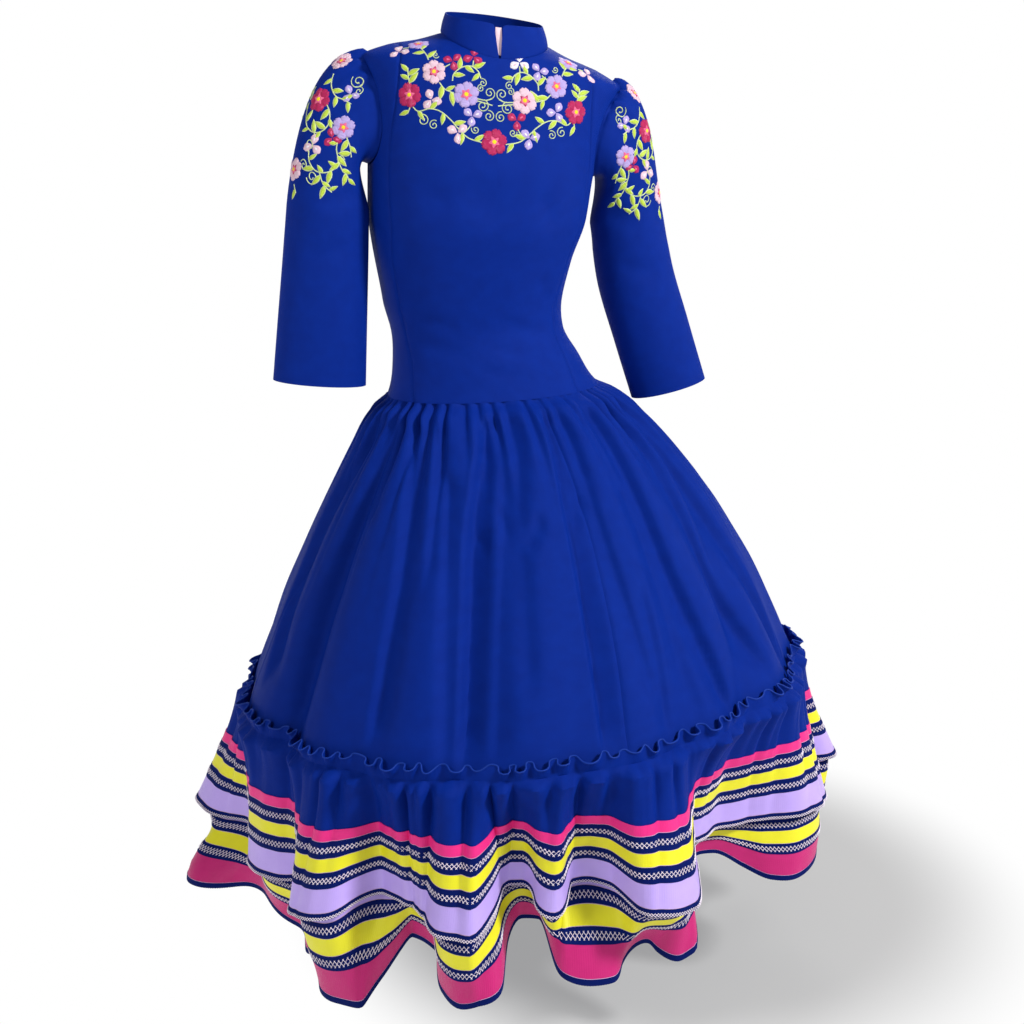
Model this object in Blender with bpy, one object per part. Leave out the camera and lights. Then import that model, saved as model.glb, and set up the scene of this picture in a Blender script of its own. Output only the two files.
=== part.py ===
"""Escaramuza dress: fitted bodice with shoulder princess seams, stand collar, three-quarter sleeves,
gathered skirt and two ribboned flounces, filled out as it is worn.

Metres, +Z up. The front faces -Y and the wearer's left is +X. The origin is the middle of the neck's base,
where the wearer carries the dress. Every piece is a closed wall of cloth, worked out from the tables below.
"""

import bpy
import numpy as np

# Cloth and seams
CLOTH = 0.0016
SATIN = 0.0010
SEAM_GAP = 0.0003
SEAM_STEP_IN = 0.00018
LAID_GAP = 0.0004
SHARP_EDGE = 50

# Levels on the body, measured down from the neck's base
COLLAR_TOP_BACK = 0.036
COLLAR_TOP_FRONT = 0.024
NECK_FRONT = -0.024
NECK_BACK = -0.006
NECK_SIDE = 0.000
SHOULDER_TIP = -0.037
ARMPIT = -0.190
BUST_LINE = -0.240
WAIST_SEAM = -0.520
SKIRT_END = -0.985

# The body that the dress is cut for, and its stance: sections from the neck down to the skirt's lower edge.
# Lengths are in metres, roll and yaw in degrees. A positive roll lifts the wearer's left.
BODY_COLUMNS = ("level", "half_width", "front", "back", "squareness", "shift", "roll", "yaw")
BODY_ROWS = (
    (0.000, 0.0770, 0.074, 0.066, 2.10, 0.000, -7.0, 6.0),
    (-0.013, 0.1100, 0.078, 0.072, 2.20, -0.001, -7.0, 7.0),
    (-0.026, 0.1550, 0.085, 0.080, 2.25, -0.002, -7.0, 8.0),
    (-0.046, 0.1890, 0.090, 0.086, 2.30, -0.004, -7.0, 8.5),
    (-0.072, 0.1830, 0.099, 0.093, 2.30, -0.007, -6.4, 9.0),
    (-0.120, 0.1740, 0.112, 0.101, 2.35, -0.013, -5.5, 10.0),
    (-0.190, 0.1670, 0.126, 0.106, 2.35, -0.021, -4.5, 12.0),
    (-0.250, 0.1635, 0.127, 0.104, 2.30, -0.026, -3.5, 12.5),
    (-0.320, 0.1480, 0.116, 0.096, 2.25, -0.033, -2.0, 11.0),
    (-0.380, 0.1360, 0.105, 0.089, 2.20, -0.034, -0.5, 9.0),
    (-0.425, 0.1310, 0.099, 0.086, 2.20, -0.027, 0.5, 7.0),
    (-0.470, 0.1420, 0.103, 0.095, 2.20, -0.014, 1.5, 6.0),
    (-0.520, 0.1620, 0.112, 0.112, 2.15, -0.003, 2.7, 5.0),
    (-0.535, 0.1850, 0.132, 0.134, 2.10, 0.002, 2.9, 4.5),
    (-0.560, 0.2120, 0.160, 0.162, 2.05, 0.009, 3.1, 4.0),
    (-0.590, 0.2360, 0.187, 0.190, 2.00, 0.016, 3.2, 3.5),
    (-0.640, 0.2710, 0.228, 0.232, 2.00, 0.023, 3.4, 3.0),
    (-0.700, 0.3090, 0.272, 0.276, 2.00, 0.029, 3.7, 2.4),
    (-0.760, 0.3430, 0.312, 0.316, 2.00, 0.033, 3.9, 1.8),
    (-0.820, 0.3760, 0.350, 0.353, 2.00, 0.036, 4.1, 1.2),
    (-0.880, 0.4030, 0.384, 0.386, 2.00, 0.038, 4.3, 0.8),
    (-0.940, 0.4280, 0.414, 0.415, 2.00, 0.039, 4.5, 0.3),
    (-0.985, 0.4430, 0.436, 0.436, 2.00, 0.040, 4.7, 0.0),
)

# Shoulder princess seam: how far it lies from the middle at each level
PRINCESS_COLUMNS = ("level", "out")
PRINCESS_ROWS = (
    (0.000, 0.140),
    (-0.100, 0.147),
    (-0.150, 0.150),
    (-0.220, 0.146),
    (-0.300, 0.134),
    (-0.425, 0.112),
    (-0.520, 0.124),
)
SHOULDER_SPLIT = 0.140
PRINCESS_YOKE = -0.225

# Armhole, from the armpit up to the shoulder tip. Angles run from the front centre, 90 at the side.
ARMHOLE_COLUMNS = ("level", "front_angle", "back_angle")
ARMHOLE_ROWS = (
    (-0.190, 90.0, 90.0),
    (-0.180, 78.0, 101.0),
    (-0.162, 70.0, 109.0),
    (-0.130, 65.0, 113.0),
    (-0.090, 67.0, 111.0),
    (-0.058, 76.0, 104.0),
    (-0.037, 90.0, 90.0),
)

NECK_RADIUS = 0.077
COLLAR_TOP_WIDTH = 0.90
COLLAR_NOTCH_BASE = 0.0012
COLLAR_NOTCH_TOP = 0.0065
COLLAR_CORNER_DROP = 0.003
COLLAR_HEIGHTS = (0.12, 0.50, 1.00)
UNDERLAP_HALF_WIDTH = 0.0045
UNDERLAP_HEIGHTS = (0.16, 0.58, 0.97)
UNDERLAP_DROP = 0.004
UNDERLAP_BEHIND = 0.0005
NECK_CURVE = 1.5

LOW_ROWS = 5
CHEST_ROWS = 4
NECK_ROWS = 5
HIGH_ROWS = CHEST_ROWS + NECK_ROWS
FRONT_COLUMNS = 5
SIDE_FRONT_COLUMNS = 3
BACK_COLUMNS = 6

# Sleeves: sections down the arm. The side is +1 for the wearer's left. Turn is the section's yaw in degrees.
SLEEVE_COLUMNS = ("down", "x", "y", "z", "half_width", "half_depth", "turn", "tilt")
SLEEVE_RIGHT = (
    (0.00, -0.2450, -0.060, -0.240, 0.0610, 0.048, 8.0, 5.0),
    (0.33, -0.2510, -0.063, -0.325, 0.0640, 0.045, 8.0, 5.0),
    (0.66, -0.2575, -0.066, -0.411, 0.0670, 0.042, 8.0, 5.0),
    (1.00, -0.2640, -0.068, -0.498, 0.0700, 0.039, 8.0, 5.0),
)
SLEEVE_LEFT = (
    (0.00, 0.2025, 0.060, -0.258, 0.0575, 0.048, 8.0, -16.0),
    (0.33, 0.2180, 0.066, -0.346, 0.0605, 0.045, 8.0, -16.0),
    (0.66, 0.2470, 0.072, -0.441, 0.0610, 0.042, 8.0, -15.0),
    (1.00, 0.2770, 0.078, -0.535, 0.0610, 0.039, 8.0, -14.0),
)
CAP_RINGS = 5
ARM_RINGS = 3

# Sleeve caps: how strongly the cloth leaves the armhole outward and upward at the top of the cap.
# The splits cut each span of half the armhole, from the armpit to the shoulder tip.
SLEEVE_CAPS = {"right": {"spread": 0.250, "lift": 0.045}, "left": {"spread": 0.150, "lift": 0.060}}
UNDERARM_SPREAD = 0.090
UNDERARM_LIFT = 0.060
UNDERARM_SHARPNESS = 6
ARM_PULL_UNDER = 0.051
ARM_PULL_TOP = 0.170
ARM_STEP = 0.05
CAP_SPLITS = (1, 1, 1, 1, 1, 2, 2, 2, 2)
CAP_GATHERS = 9.6
CAP_GATHER_DEPTH = 0.0022
CAP_GATHER_FROM = 0.55
CAP_GATHER_RISE = 0.35
CAP_GATHER_FADE = 1.5

# Skirt: broad soft valleys. Drift is how far each turns between the lower edge and the waist.
SKIRT_FOLD_COLUMNS = ("azimuth", "drift", "depth", "width", "start")
SKIRT_FOLD_ROWS = (
    (-170.0, 4.0, 0.018, 8.0, 0.20),
    (-146.0, -4.0, 0.014, 7.0, 0.10),
    (-118.0, 5.0, 0.022, 8.0, 0.25),
    (-86.0, 2.0, 0.012, 7.0, 0.30),
    (-54.0, -4.0, 0.026, 6.0, 0.10),
    (-33.0, -4.0, 0.006, 6.0, 0.20),
    (-12.0, -1.0, 0.009, 6.0, 0.00),
    (10.0, 6.0, 0.005, 5.0, 0.10),
    (33.0, 8.0, 0.018, 6.0, 0.35),
    (50.0, 22.0, 0.020, 6.0, 0.00),
    (78.0, 6.0, 0.014, 8.0, 0.30),
    (104.0, -5.0, 0.020, 8.0, 0.15),
    (133.0, 4.0, 0.016, 7.0, 0.25),
    (160.0, -3.0, 0.020, 8.0, 0.10),
)
SKIRT_SEAMS = {"skirt_front": (-75, 20), "skirt_side_left": (20, 75), "skirt_back": (75, 180),
               "skirt_side_right": (-180, -75)}
SKIRT_FINE_LEVELS = (-0.520, -0.545, -0.600)
SKIRT_BROAD_LEVELS = (-0.700, -0.840, -0.985)
SKIRT_FINE = 144
SKIRT_BROAD = 72
SKIRT_FOLD_GROWTH = 0.6
WAIST_GATHERS = 48

# Slow waves round the waist that make the gathers uneven: waves round, strength and phase
GATHER_SHIFTS = ((5, 0.8, 0.0), (11, 0.5, 1.0))
GATHER_DEPTH_WAVE = (7, 0.25, 0.5)
GATHER_COLUMNS = ("level", "depth")
GATHER_ROWS = (
    (-0.520, 0.0024),
    (-0.545, 0.0048),
    (-0.600, 0.0042),
    (-0.700, 0.0012),
    (-0.800, 0.0000),
    (-0.985, 0.0000),
)

# Flounces: the hem's folds. Out and fall are how far the hem lies out from and below the skirt's lower edge.
FOLD_COLUMNS = ("azimuth", "out", "fall")
UPPER_FOLDS = (
    (-173.0, -0.035, 0.195),
    (-163.0, 0.060, 0.210),
    (-152.0, -0.035, 0.195),
    (-141.0, 0.062, 0.210),
    (-130.0, -0.035, 0.195),
    (-120.0, 0.060, 0.210),
    (-110.0, -0.030, 0.200),
    (-101.0, 0.045, 0.205),
    (-96.0, 0.060, 0.203),
    (-91.0, 0.100, 0.200),
    (-84.0, 0.050, 0.205),
    (-76.0, -0.010, 0.205),
    (-66.0, 0.018, 0.218),
    (-56.0, 0.030, 0.220),
    (-50.0, 0.005, 0.215),
    (-42.0, 0.056, 0.218),
    (-35.5, 0.065, 0.212),
    (-32.0, 0.025, 0.198),
    (-28.5, -0.023, 0.196),
    (-22.0, -0.010, 0.200),
    (-16.5, 0.015, 0.206),
    (-12.5, 0.050, 0.215),
    (-8.5, 0.060, 0.217),
    (-6.5, 0.005, 0.200),
    (-4.5, -0.036, 0.186),
    (0.0, -0.045, 0.180),
    (3.5, -0.010, 0.199),
    (6.0, 0.010, 0.212),
    (8.5, -0.028, 0.198),
    (12.5, -0.040, 0.187),
    (16.5, -0.022, 0.196),
    (20.0, 0.038, 0.209),
    (24.5, 0.060, 0.211),
    (29.0, 0.070, 0.217),
    (33.0, 0.020, 0.200),
    (38.0, -0.035, 0.180),
    (46.0, -0.042, 0.190),
    (55.0, -0.036, 0.200),
    (61.0, -0.012, 0.200),
    (67.0, 0.035, 0.200),
    (75.0, 0.064, 0.205),
    (82.0, 0.050, 0.205),
    (88.0, 0.000, 0.205),
    (96.0, 0.095, 0.205),
    (103.0, 0.030, 0.205),
    (109.0, -0.035, 0.195),
    (120.0, 0.060, 0.210),
    (131.0, -0.035, 0.195),
    (142.0, 0.062, 0.210),
    (152.0, -0.035, 0.195),
    (162.0, 0.050, 0.210),
    (169.0, -0.030, 0.195),
    (178.0, 0.055, 0.210),
)
LOWER_FOLDS = (
    (-170.0, 0.040, 0.335),
    (-158.0, -0.050, 0.300),
    (-146.0, 0.042, 0.335),
    (-135.0, -0.050, 0.300),
    (-124.0, 0.040, 0.335),
    (-112.0, -0.045, 0.300),
    (-101.0, 0.030, 0.320),
    (-93.0, 0.010, 0.310),
    (-83.0, 0.115, 0.304),
    (-76.0, 0.040, 0.295),
    (-68.0, -0.010, 0.290),
    (-57.0, -0.010, 0.313),
    (-49.0, 0.000, 0.328),
    (-45.0, -0.015, 0.325),
    (-40.0, 0.020, 0.348),
    (-35.5, 0.032, 0.360),
    (-29.5, 0.030, 0.357),
    (-27.0, -0.005, 0.325),
    (-24.5, -0.055, 0.275),
    (-20.0, -0.045, 0.285),
    (-17.0, -0.035, 0.292),
    (-13.3, 0.010, 0.324),
    (-10.3, 0.035, 0.337),
    (-7.0, 0.035, 0.329),
    (-4.0, 0.010, 0.311),
    (-2.5, -0.040, 0.276),
    (0.0, -0.072, 0.250),
    (3.0, -0.068, 0.253),
    (6.0, -0.030, 0.285),
    (9.2, 0.000, 0.314),
    (13.0, 0.015, 0.326),
    (16.0, 0.012, 0.328),
    (20.0, -0.012, 0.316),
    (25.0, -0.032, 0.308),
    (29.5, -0.026, 0.327),
    (33.0, 0.005, 0.344),
    (36.0, 0.005, 0.338),
    (39.0, -0.050, 0.270),
    (46.0, -0.072, 0.245),
    (52.0, -0.062, 0.250),
    (57.0, -0.035, 0.278),
    (61.0, 0.002, 0.298),
    (66.0, 0.032, 0.303),
    (75.0, 0.056, 0.295),
    (84.0, 0.010, 0.300),
    (95.0, 0.060, 0.315),
    (104.0, -0.040, 0.300),
    (115.0, 0.040, 0.335),
    (126.0, -0.050, 0.300),
    (138.0, 0.042, 0.335),
    (149.0, -0.050, 0.300),
    (161.0, 0.040, 0.335),
    (176.0, -0.050, 0.300),
)
UPPER_LENGTH = 0.225
LOWER_LENGTH = 0.330
LOWER_TOP_TUCK = 0.0012
LOWER_TUCK = 0.014
LOWER_TUCKED_BY = 0.050
LOWER_FREE_FROM = 0.200
LOWER_MIDDLE = 0.100

HEADING_COLUMNS_ROUND = 144
HEADING_WAVES = 72
HEADING_HEIGHT = 0.020
HEADING_STAND = 0.0022
HEADING_WAVE_DEPTH = 0.0048
HEADING_WAVE_RISE = 0.0025
HEADING_RISE_WAVES = 11

# Slow waves that make the heading's depth uneven: waves round and strength
HEADING_DEPTH_MEAN = 0.8
HEADING_DEPTH_WAVES = ((13, 0.2), (31, 0.1))

# Folds wider than this many degrees get a column half-way
WIDE_FOLD = 5.5

# Ribbons: each runs between two distances down its flounce
RIBBON_COLUMNS = ("name", "flounce", "top", "bottom")
RIBBON_ROWS = (
    ("ribbon_upper_pink", "upper", 0.089, 0.107),
    ("ribbon_upper_yellow", "upper", 0.131, 0.154),
    ("ribbon_upper_lilac", "upper", 0.177, 0.215),
    ("ribbon_lower_lilac", "lower", 0.216, 0.232),
    ("ribbon_lower_yellow", "lower", 0.249, 0.271),
    ("ribbon_lower_magenta", "lower", 0.286, 0.322),
)

# Finishes: colour, roughness and metallic of each material
FINISH_COLUMNS = ("name", "colour", "roughness", "metallic")
FINISH_ROWS = (
    ("royal_blue_cloth", (0.010, 0.035, 0.330), 0.62, 0.0),
    ("pale_pink_cloth", (0.800, 0.520, 0.560), 0.60, 0.0),
    ("pink_satin", (0.820, 0.070, 0.270), 0.35, 0.0),
    ("yellow_satin", (0.850, 0.800, 0.010), 0.35, 0.0),
    ("lilac_satin", (0.480, 0.330, 0.800), 0.35, 0.0),
    ("magenta_satin", (0.620, 0.030, 0.230), 0.35, 0.0),
)


# Tables and curves

def table(columns, rows):
    """The columns of a table, by name, as arrays."""
    return {name: np.array([row[i] for row in rows]) for i, name in enumerate(columns)}


def smooth_line(stations, values):
    """A monotone cubic line through a table's column, as a function of the station."""
    order = np.argsort(stations)
    x = np.asarray(stations, float)[order]
    y = np.asarray(values, float)[order]
    step = np.diff(x)
    rise = np.diff(y) / step
    slope = np.zeros_like(y)
    slope[0], slope[-1] = rise[0], rise[-1]
    before = 2 * step[1:] + step[:-1]
    after = step[1:] + 2 * step[:-1]
    same_way = rise[:-1] * rise[1:] > 0
    safe = np.where(same_way, before / np.where(rise[:-1] == 0, 1, rise[:-1])
                    + after / np.where(rise[1:] == 0, 1, rise[1:]), 1)
    slope[1:-1] = np.where(same_way, (before + after) / safe, 0)

    def line(at):
        at = np.clip(at, x[0], x[-1])
        k = np.clip(np.searchsorted(x, at, side="right") - 1, 0, len(x) - 2)
        t = (at - x[k]) / step[k]
        start = (2 * t**3 - 3 * t**2 + 1) * y[k] + (t**3 - 2 * t**2 + t) * step[k] * slope[k]
        end = (3 * t**2 - 2 * t**3) * y[k + 1] + (t**3 - t**2) * step[k] * slope[k + 1]
        return start + end

    return line


def smooth_lines(columns, rows):
    """Each column of a table as a smooth function of its first column."""
    data = table(columns, rows)
    return {name: smooth_line(data[columns[0]], data[name]) for name in columns[1:]}


def ease(t):
    """0 to 1 with level ends."""
    t = np.clip(t, 0, 1)
    return t * t * (3 - 2 * t)


def around(azimuth):
    """An azimuth in degrees brought between -180 and 180."""
    return (np.asarray(azimuth, float) + 180) % 360 - 180


def unit(vectors):
    """Vectors brought to length one."""
    return vectors / np.linalg.norm(vectors, axis=-1, keepdims=True)


BODY = smooth_lines(BODY_COLUMNS, BODY_ROWS)
PRINCESS = smooth_lines(PRINCESS_COLUMNS, PRINCESS_ROWS)
GATHER = smooth_lines(GATHER_COLUMNS, GATHER_ROWS)


# The body's skin

def section_point(angle, level):
    """A point of the skin before the stance. The angle runs from the front centre to the back centre."""
    power = 2 / BODY["squareness"](level)
    cos = np.cos(angle)
    depth = np.where(cos > 0, BODY["front"](level), BODY["back"](level))
    x = BODY["half_width"](level) * np.abs(np.sin(angle))**power
    y = -np.sign(cos) * depth * np.abs(cos)**power
    return np.stack([x, y, level + 0 * x], axis=-1)


def section_normal(angle, level):
    """The skin's outward normal at the same point."""
    delta = 0.0005
    level = np.minimum(level, NECK_SIDE - delta)
    square = BODY["squareness"](level)
    cos = np.cos(angle)
    front = cos > 0
    half = BODY["half_width"](level)
    depth = np.where(front, BODY["front"](level), BODY["back"](level))
    half_slope = (BODY["half_width"](level + delta) - BODY["half_width"](level - delta)) / (2 * delta)
    front_slope = (BODY["front"](level + delta) - BODY["front"](level - delta)) / (2 * delta)
    back_slope = (BODY["back"](level + delta) - BODY["back"](level - delta)) / (2 * delta)
    depth_slope = np.where(front, front_slope, back_slope)
    across = np.abs(np.sin(angle))**(2 / square)
    along = np.abs(cos)**(2 / square)
    x = across**(square - 1) / half
    y = -np.sign(cos) * along**(square - 1) / depth
    z = -(across**square * half_slope / half + along**square * depth_slope / depth)
    return unit(np.stack([x, y, z], axis=-1))


def stance(points):
    """Points of the straight body, moved into the way it stands: shifted, turned and tilted by level."""
    level = points[..., 2]
    yaw = np.radians(BODY["yaw"](level))
    x = points[..., 0] * np.cos(yaw) - points[..., 1] * np.sin(yaw)
    y = points[..., 0] * np.sin(yaw) + points[..., 1] * np.cos(yaw)
    z = level + x * np.tan(np.radians(BODY["roll"](level)))
    return np.stack([x + BODY["shift"](level), y, z], axis=-1)


def angle_at(out, level):
    """The angle at which the front or back skin lies this far from the middle."""
    ratio = np.clip(out / BODY["half_width"](level), 0, 1)
    return np.arcsin(ratio**(BODY["squareness"](level) / 2))


def shoulder_level(out):
    """The level of the shoulder line at this distance from the middle."""
    levels = np.linspace(SHOULDER_TIP, NECK_SIDE, 400)
    return np.interp(-out, -BODY["half_width"](levels), levels)


def spaced(angle, level, count):
    """Points of a line on the skin, respaced to equal steps along it, as angles and levels."""
    points = section_point(angle, level)
    length = np.r_[0, np.cumsum(np.linalg.norm(np.diff(points, axis=0), axis=1))]
    at = np.linspace(0, length[-1], count + 1)
    return np.interp(at, length, angle), np.interp(at, length, level)


def joined(low, high):
    """Two lines on the skin, one after the other."""
    return np.r_[low[0], high[0][1:]], np.r_[low[1], high[1][1:]]


# Bodice seams: each is a column of angles and levels, from the waist seam to the shoulder

def centre_line(angle, neck_level):
    """The front or back centre of the bodice, up to the neckline."""
    low = np.linspace(WAIST_SEAM, BUST_LINE, LOW_ROWS + 1)
    level = np.r_[low, np.linspace(BUST_LINE, neck_level, CHEST_ROWS + 1)[1:]]
    return np.full(len(level), angle), level


def centre_front_edge():
    """Up the front centre and on round the neckline to its side."""
    turn = np.linspace(0, np.pi / 2, 200)
    level = NECK_SIDE + (NECK_FRONT - NECK_SIDE) * np.cos(turn)**NECK_CURVE
    neck = spaced(angle_at(NECK_RADIUS * np.sin(turn), level), level, NECK_ROWS)
    return joined(centre_line(0.0, NECK_FRONT), neck)


def centre_back_edge():
    """Up the back centre and on round the neckline to its side."""
    turn = np.linspace(0, np.pi / 2, 200)
    level = NECK_SIDE + (NECK_BACK - NECK_SIDE) * np.cos(turn)**NECK_CURVE
    neck = spaced(np.pi - angle_at(NECK_RADIUS * np.sin(turn), level), level, NECK_ROWS)
    return joined(centre_line(np.pi, NECK_BACK), neck)


def princess_edge():
    """The seam from the waist over the bust to the middle of the shoulder."""
    top = shoulder_level(SHOULDER_SPLIT)
    low_levels = np.linspace(WAIST_SEAM, PRINCESS_YOKE, LOW_ROWS + 1)
    low = angle_at(PRINCESS["out"](low_levels), low_levels), low_levels
    climb = 1 - (1 - np.linspace(0, 1, 400))**2
    level = PRINCESS_YOKE + (top - PRINCESS_YOKE) * climb
    blend = ease((level - PRINCESS_YOKE) / (top - PRINCESS_YOKE))
    out = PRINCESS["out"](level) * (1 - blend) + SHOULDER_SPLIT * blend
    angle = angle_at(out, level)
    angle[-1] = np.pi / 2
    return joined(low, spaced(angle, level, HIGH_ROWS))


def side_edge(column):
    """Up the side to the armpit and on round one half of the armhole."""
    low = np.full(LOW_ROWS + 1, np.pi / 2), np.linspace(WAIST_SEAM, ARMPIT, LOW_ROWS + 1)
    data = table(ARMHOLE_COLUMNS, ARMHOLE_ROWS)
    rows = np.arange(len(data["level"]))
    at = np.linspace(0, rows[-1], 200)
    level = smooth_line(rows, data["level"])(at)
    angle = np.radians(smooth_line(rows, data[column])(at))
    return joined(low, spaced(angle, level, HIGH_ROWS))


def patch(first, second, columns):
    """A cloth patch between two edges: its skin points and normals, by row and column."""
    share = np.linspace(0, 1, columns + 1)
    angle = first[0][:, None] * (1 - share) + second[0][:, None] * share
    level = first[1][:, None] * (1 - share) + second[1][:, None] * share
    points = section_point(angle, level)
    normals = section_normal(angle, level)
    normals[0, :, 2] = 0
    normals[0] = unit(normals[0])
    return points, normals


def step_in(points, rows, columns, inward, distance):
    """Moves an edge of a patch towards its neighbours, to leave half a seam's gap."""
    edge = points[rows, columns]
    away = points[rows + inward[0], columns + inward[1]] - edge
    points[rows, columns] = edge + distance * unit(away)


# Walls

def triangles(grid):
    """Two triangles for each cell of a grid of point numbers."""
    a, b = grid[:-1, :-1].ravel(), grid[:-1, 1:].ravel()
    c, d = grid[1:, 1:].ravel(), grid[1:, :-1].ravel()
    return np.concatenate([np.stack([a, b, c], 1), np.stack([a, c, d], 1)])


def strip_between(upper, upper_at, lower, lower_at):
    """Triangles between two closed rings with their own columns. Each column has its azimuth."""
    faces = []
    i = j = 0
    upper, lower = list(upper) + [upper[0]], list(lower) + [lower[0]]
    upper_at, lower_at = list(upper_at) + [upper_at[0] + 360], list(lower_at) + [lower_at[0] + 360]
    while i < len(upper) - 1 or j < len(lower) - 1:
        next_upper = upper_at[i + 1] if i < len(upper) - 1 else np.inf
        next_lower = lower_at[j + 1] if j < len(lower) - 1 else np.inf
        if next_upper <= next_lower:
            faces.append((upper[i], upper[i + 1], lower[j]))
            i += 1
        else:
            faces.append((upper[i], lower[j + 1], lower[j]))
            j += 1
    return np.array(faces)


def wall(name, inner, outer, faces, finish):
    """A closed piece of cloth between its inner and outer points, with its rim along every open edge."""
    count = len(inner)
    edges = np.concatenate([faces[:, [0, 1]], faces[:, [1, 2]], faces[:, [2, 0]]])
    known = {tuple(edge) for edge in edges}
    rim = [edge for edge in map(tuple, edges) if edge[::-1] not in known]
    sides = []
    for a, b in rim:
        if np.linalg.norm(outer[b] - inner[a]) <= np.linalg.norm(outer[a] - inner[b]):
            sides += [(b, a, a + count), (b, a + count, b + count)]
        else:
            sides += [(b, a, b + count), (a, a + count, b + count)]
    all_faces = np.concatenate([faces, faces[:, ::-1] + count, np.array(sides)])
    points = np.concatenate([outer, inner])
    used, all_faces = np.unique(all_faces, return_inverse=True)
    all_faces = all_faces.reshape(-1, 3)
    points = points[used]
    a, b, c = (points[all_faces[:, k]] for k in range(3))
    if np.einsum("ij,ij->", a, np.cross(b, c)) < 0:
        all_faces = all_faces[:, ::-1]
    mesh = bpy.data.meshes.new(name)
    mesh.from_pydata(points.tolist(), [], all_faces.tolist())
    mesh.materials.append(finish)
    mesh.shade_smooth()
    mesh.set_sharp_from_angle(angle=np.radians(SHARP_EDGE))
    bpy.context.scene.collection.objects.link(bpy.data.objects.new(name, mesh))


# Bodice

def bodice_panel(name, side, points, normals, grid, finish):
    """One bodice panel on the given side of the body."""
    flip = np.array([side, 1, 1])
    inner = stance(points.reshape(-1, 3) * flip)
    outer = stance((points + CLOTH * normals).reshape(-1, 3) * flip)
    return wall(name, inner, outer, triangles(grid), finish)


def grid_numbers(points):
    """Point numbers laid out as the patch's rows and columns."""
    return np.arange(points.shape[0] * points.shape[1]).reshape(points.shape[:2])


def make_bodice(blue):
    """The five bodice panels. Every edge that meets another is drawn in by half the seam's gap."""
    half = SEAM_STEP_IN
    every = np.arange(LOW_ROWS + HIGH_ROWS + 1)
    low = every[:LOW_ROWS + 1]
    centre = every[:LOW_ROWS + CHEST_ROWS + 1]

    points, normals = patch(centre_front_edge(), princess_edge(), FRONT_COLUMNS)
    step_in(points, every, -1, (0, -1), half)
    step_in(points, -1, np.arange(FRONT_COLUMNS + 1), (-1, 0), half)
    both = np.concatenate([points, points * np.array([-1, 1, 1])]).reshape(-1, 3)
    both_normals = np.concatenate([normals, normals * np.array([-1, 1, 1])]).reshape(-1, 3)
    left = grid_numbers(points)
    right = left + left.size
    right[centre, 0] = left[centre, 0]
    faces = np.concatenate([triangles(left), triangles(right)[:, ::-1]])
    wall("bodice_front", stance(both), stance(both + CLOTH * both_normals), faces, blue)

    for side, name in ((1, "left"), (-1, "right")):
        points, normals = patch(princess_edge(), side_edge("front_angle"), SIDE_FRONT_COLUMNS)
        step_in(points, every, 0, (0, 1), half)
        step_in(points, low, -1, (0, -1), half)
        step_in(points, -1, np.arange(SIDE_FRONT_COLUMNS + 1), (-1, 0), half)
        bodice_panel(f"bodice_side_front_{name}", side, points, normals, grid_numbers(points), blue)
        points, normals = patch(side_edge("back_angle"), centre_back_edge(), BACK_COLUMNS)
        step_in(points, low, 0, (0, 1), half)
        step_in(points, centre, -1, (0, -1), half)
        step_in(points, -1, np.arange(BACK_COLUMNS + 1), (-1, 0), half)
        bodice_panel(f"bodice_back_{name}", side, points, normals, grid_numbers(points), blue)


# Collar

def neck_ring():
    """The neckline's skin points and normals for half the neck, from the front centre to the back centre."""
    front = [edge[-NECK_ROWS - 1:] for edge in centre_front_edge()]
    back = [edge[-NECK_ROWS - 1:][::-1] for edge in centre_back_edge()]
    angle, level = np.r_[front[0], back[0][1:]], np.r_[front[1], back[1][1:]]
    return section_point(angle, level), section_normal(angle, level)


def away_from_cloth(along, normals, towards):
    """The direction that carries on past a cloth edge, square to its line and to its normal."""
    away = unit(np.cross(along, normals))
    return away * np.sign(np.sum(away * towards, axis=-1, keepdims=True))


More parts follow.
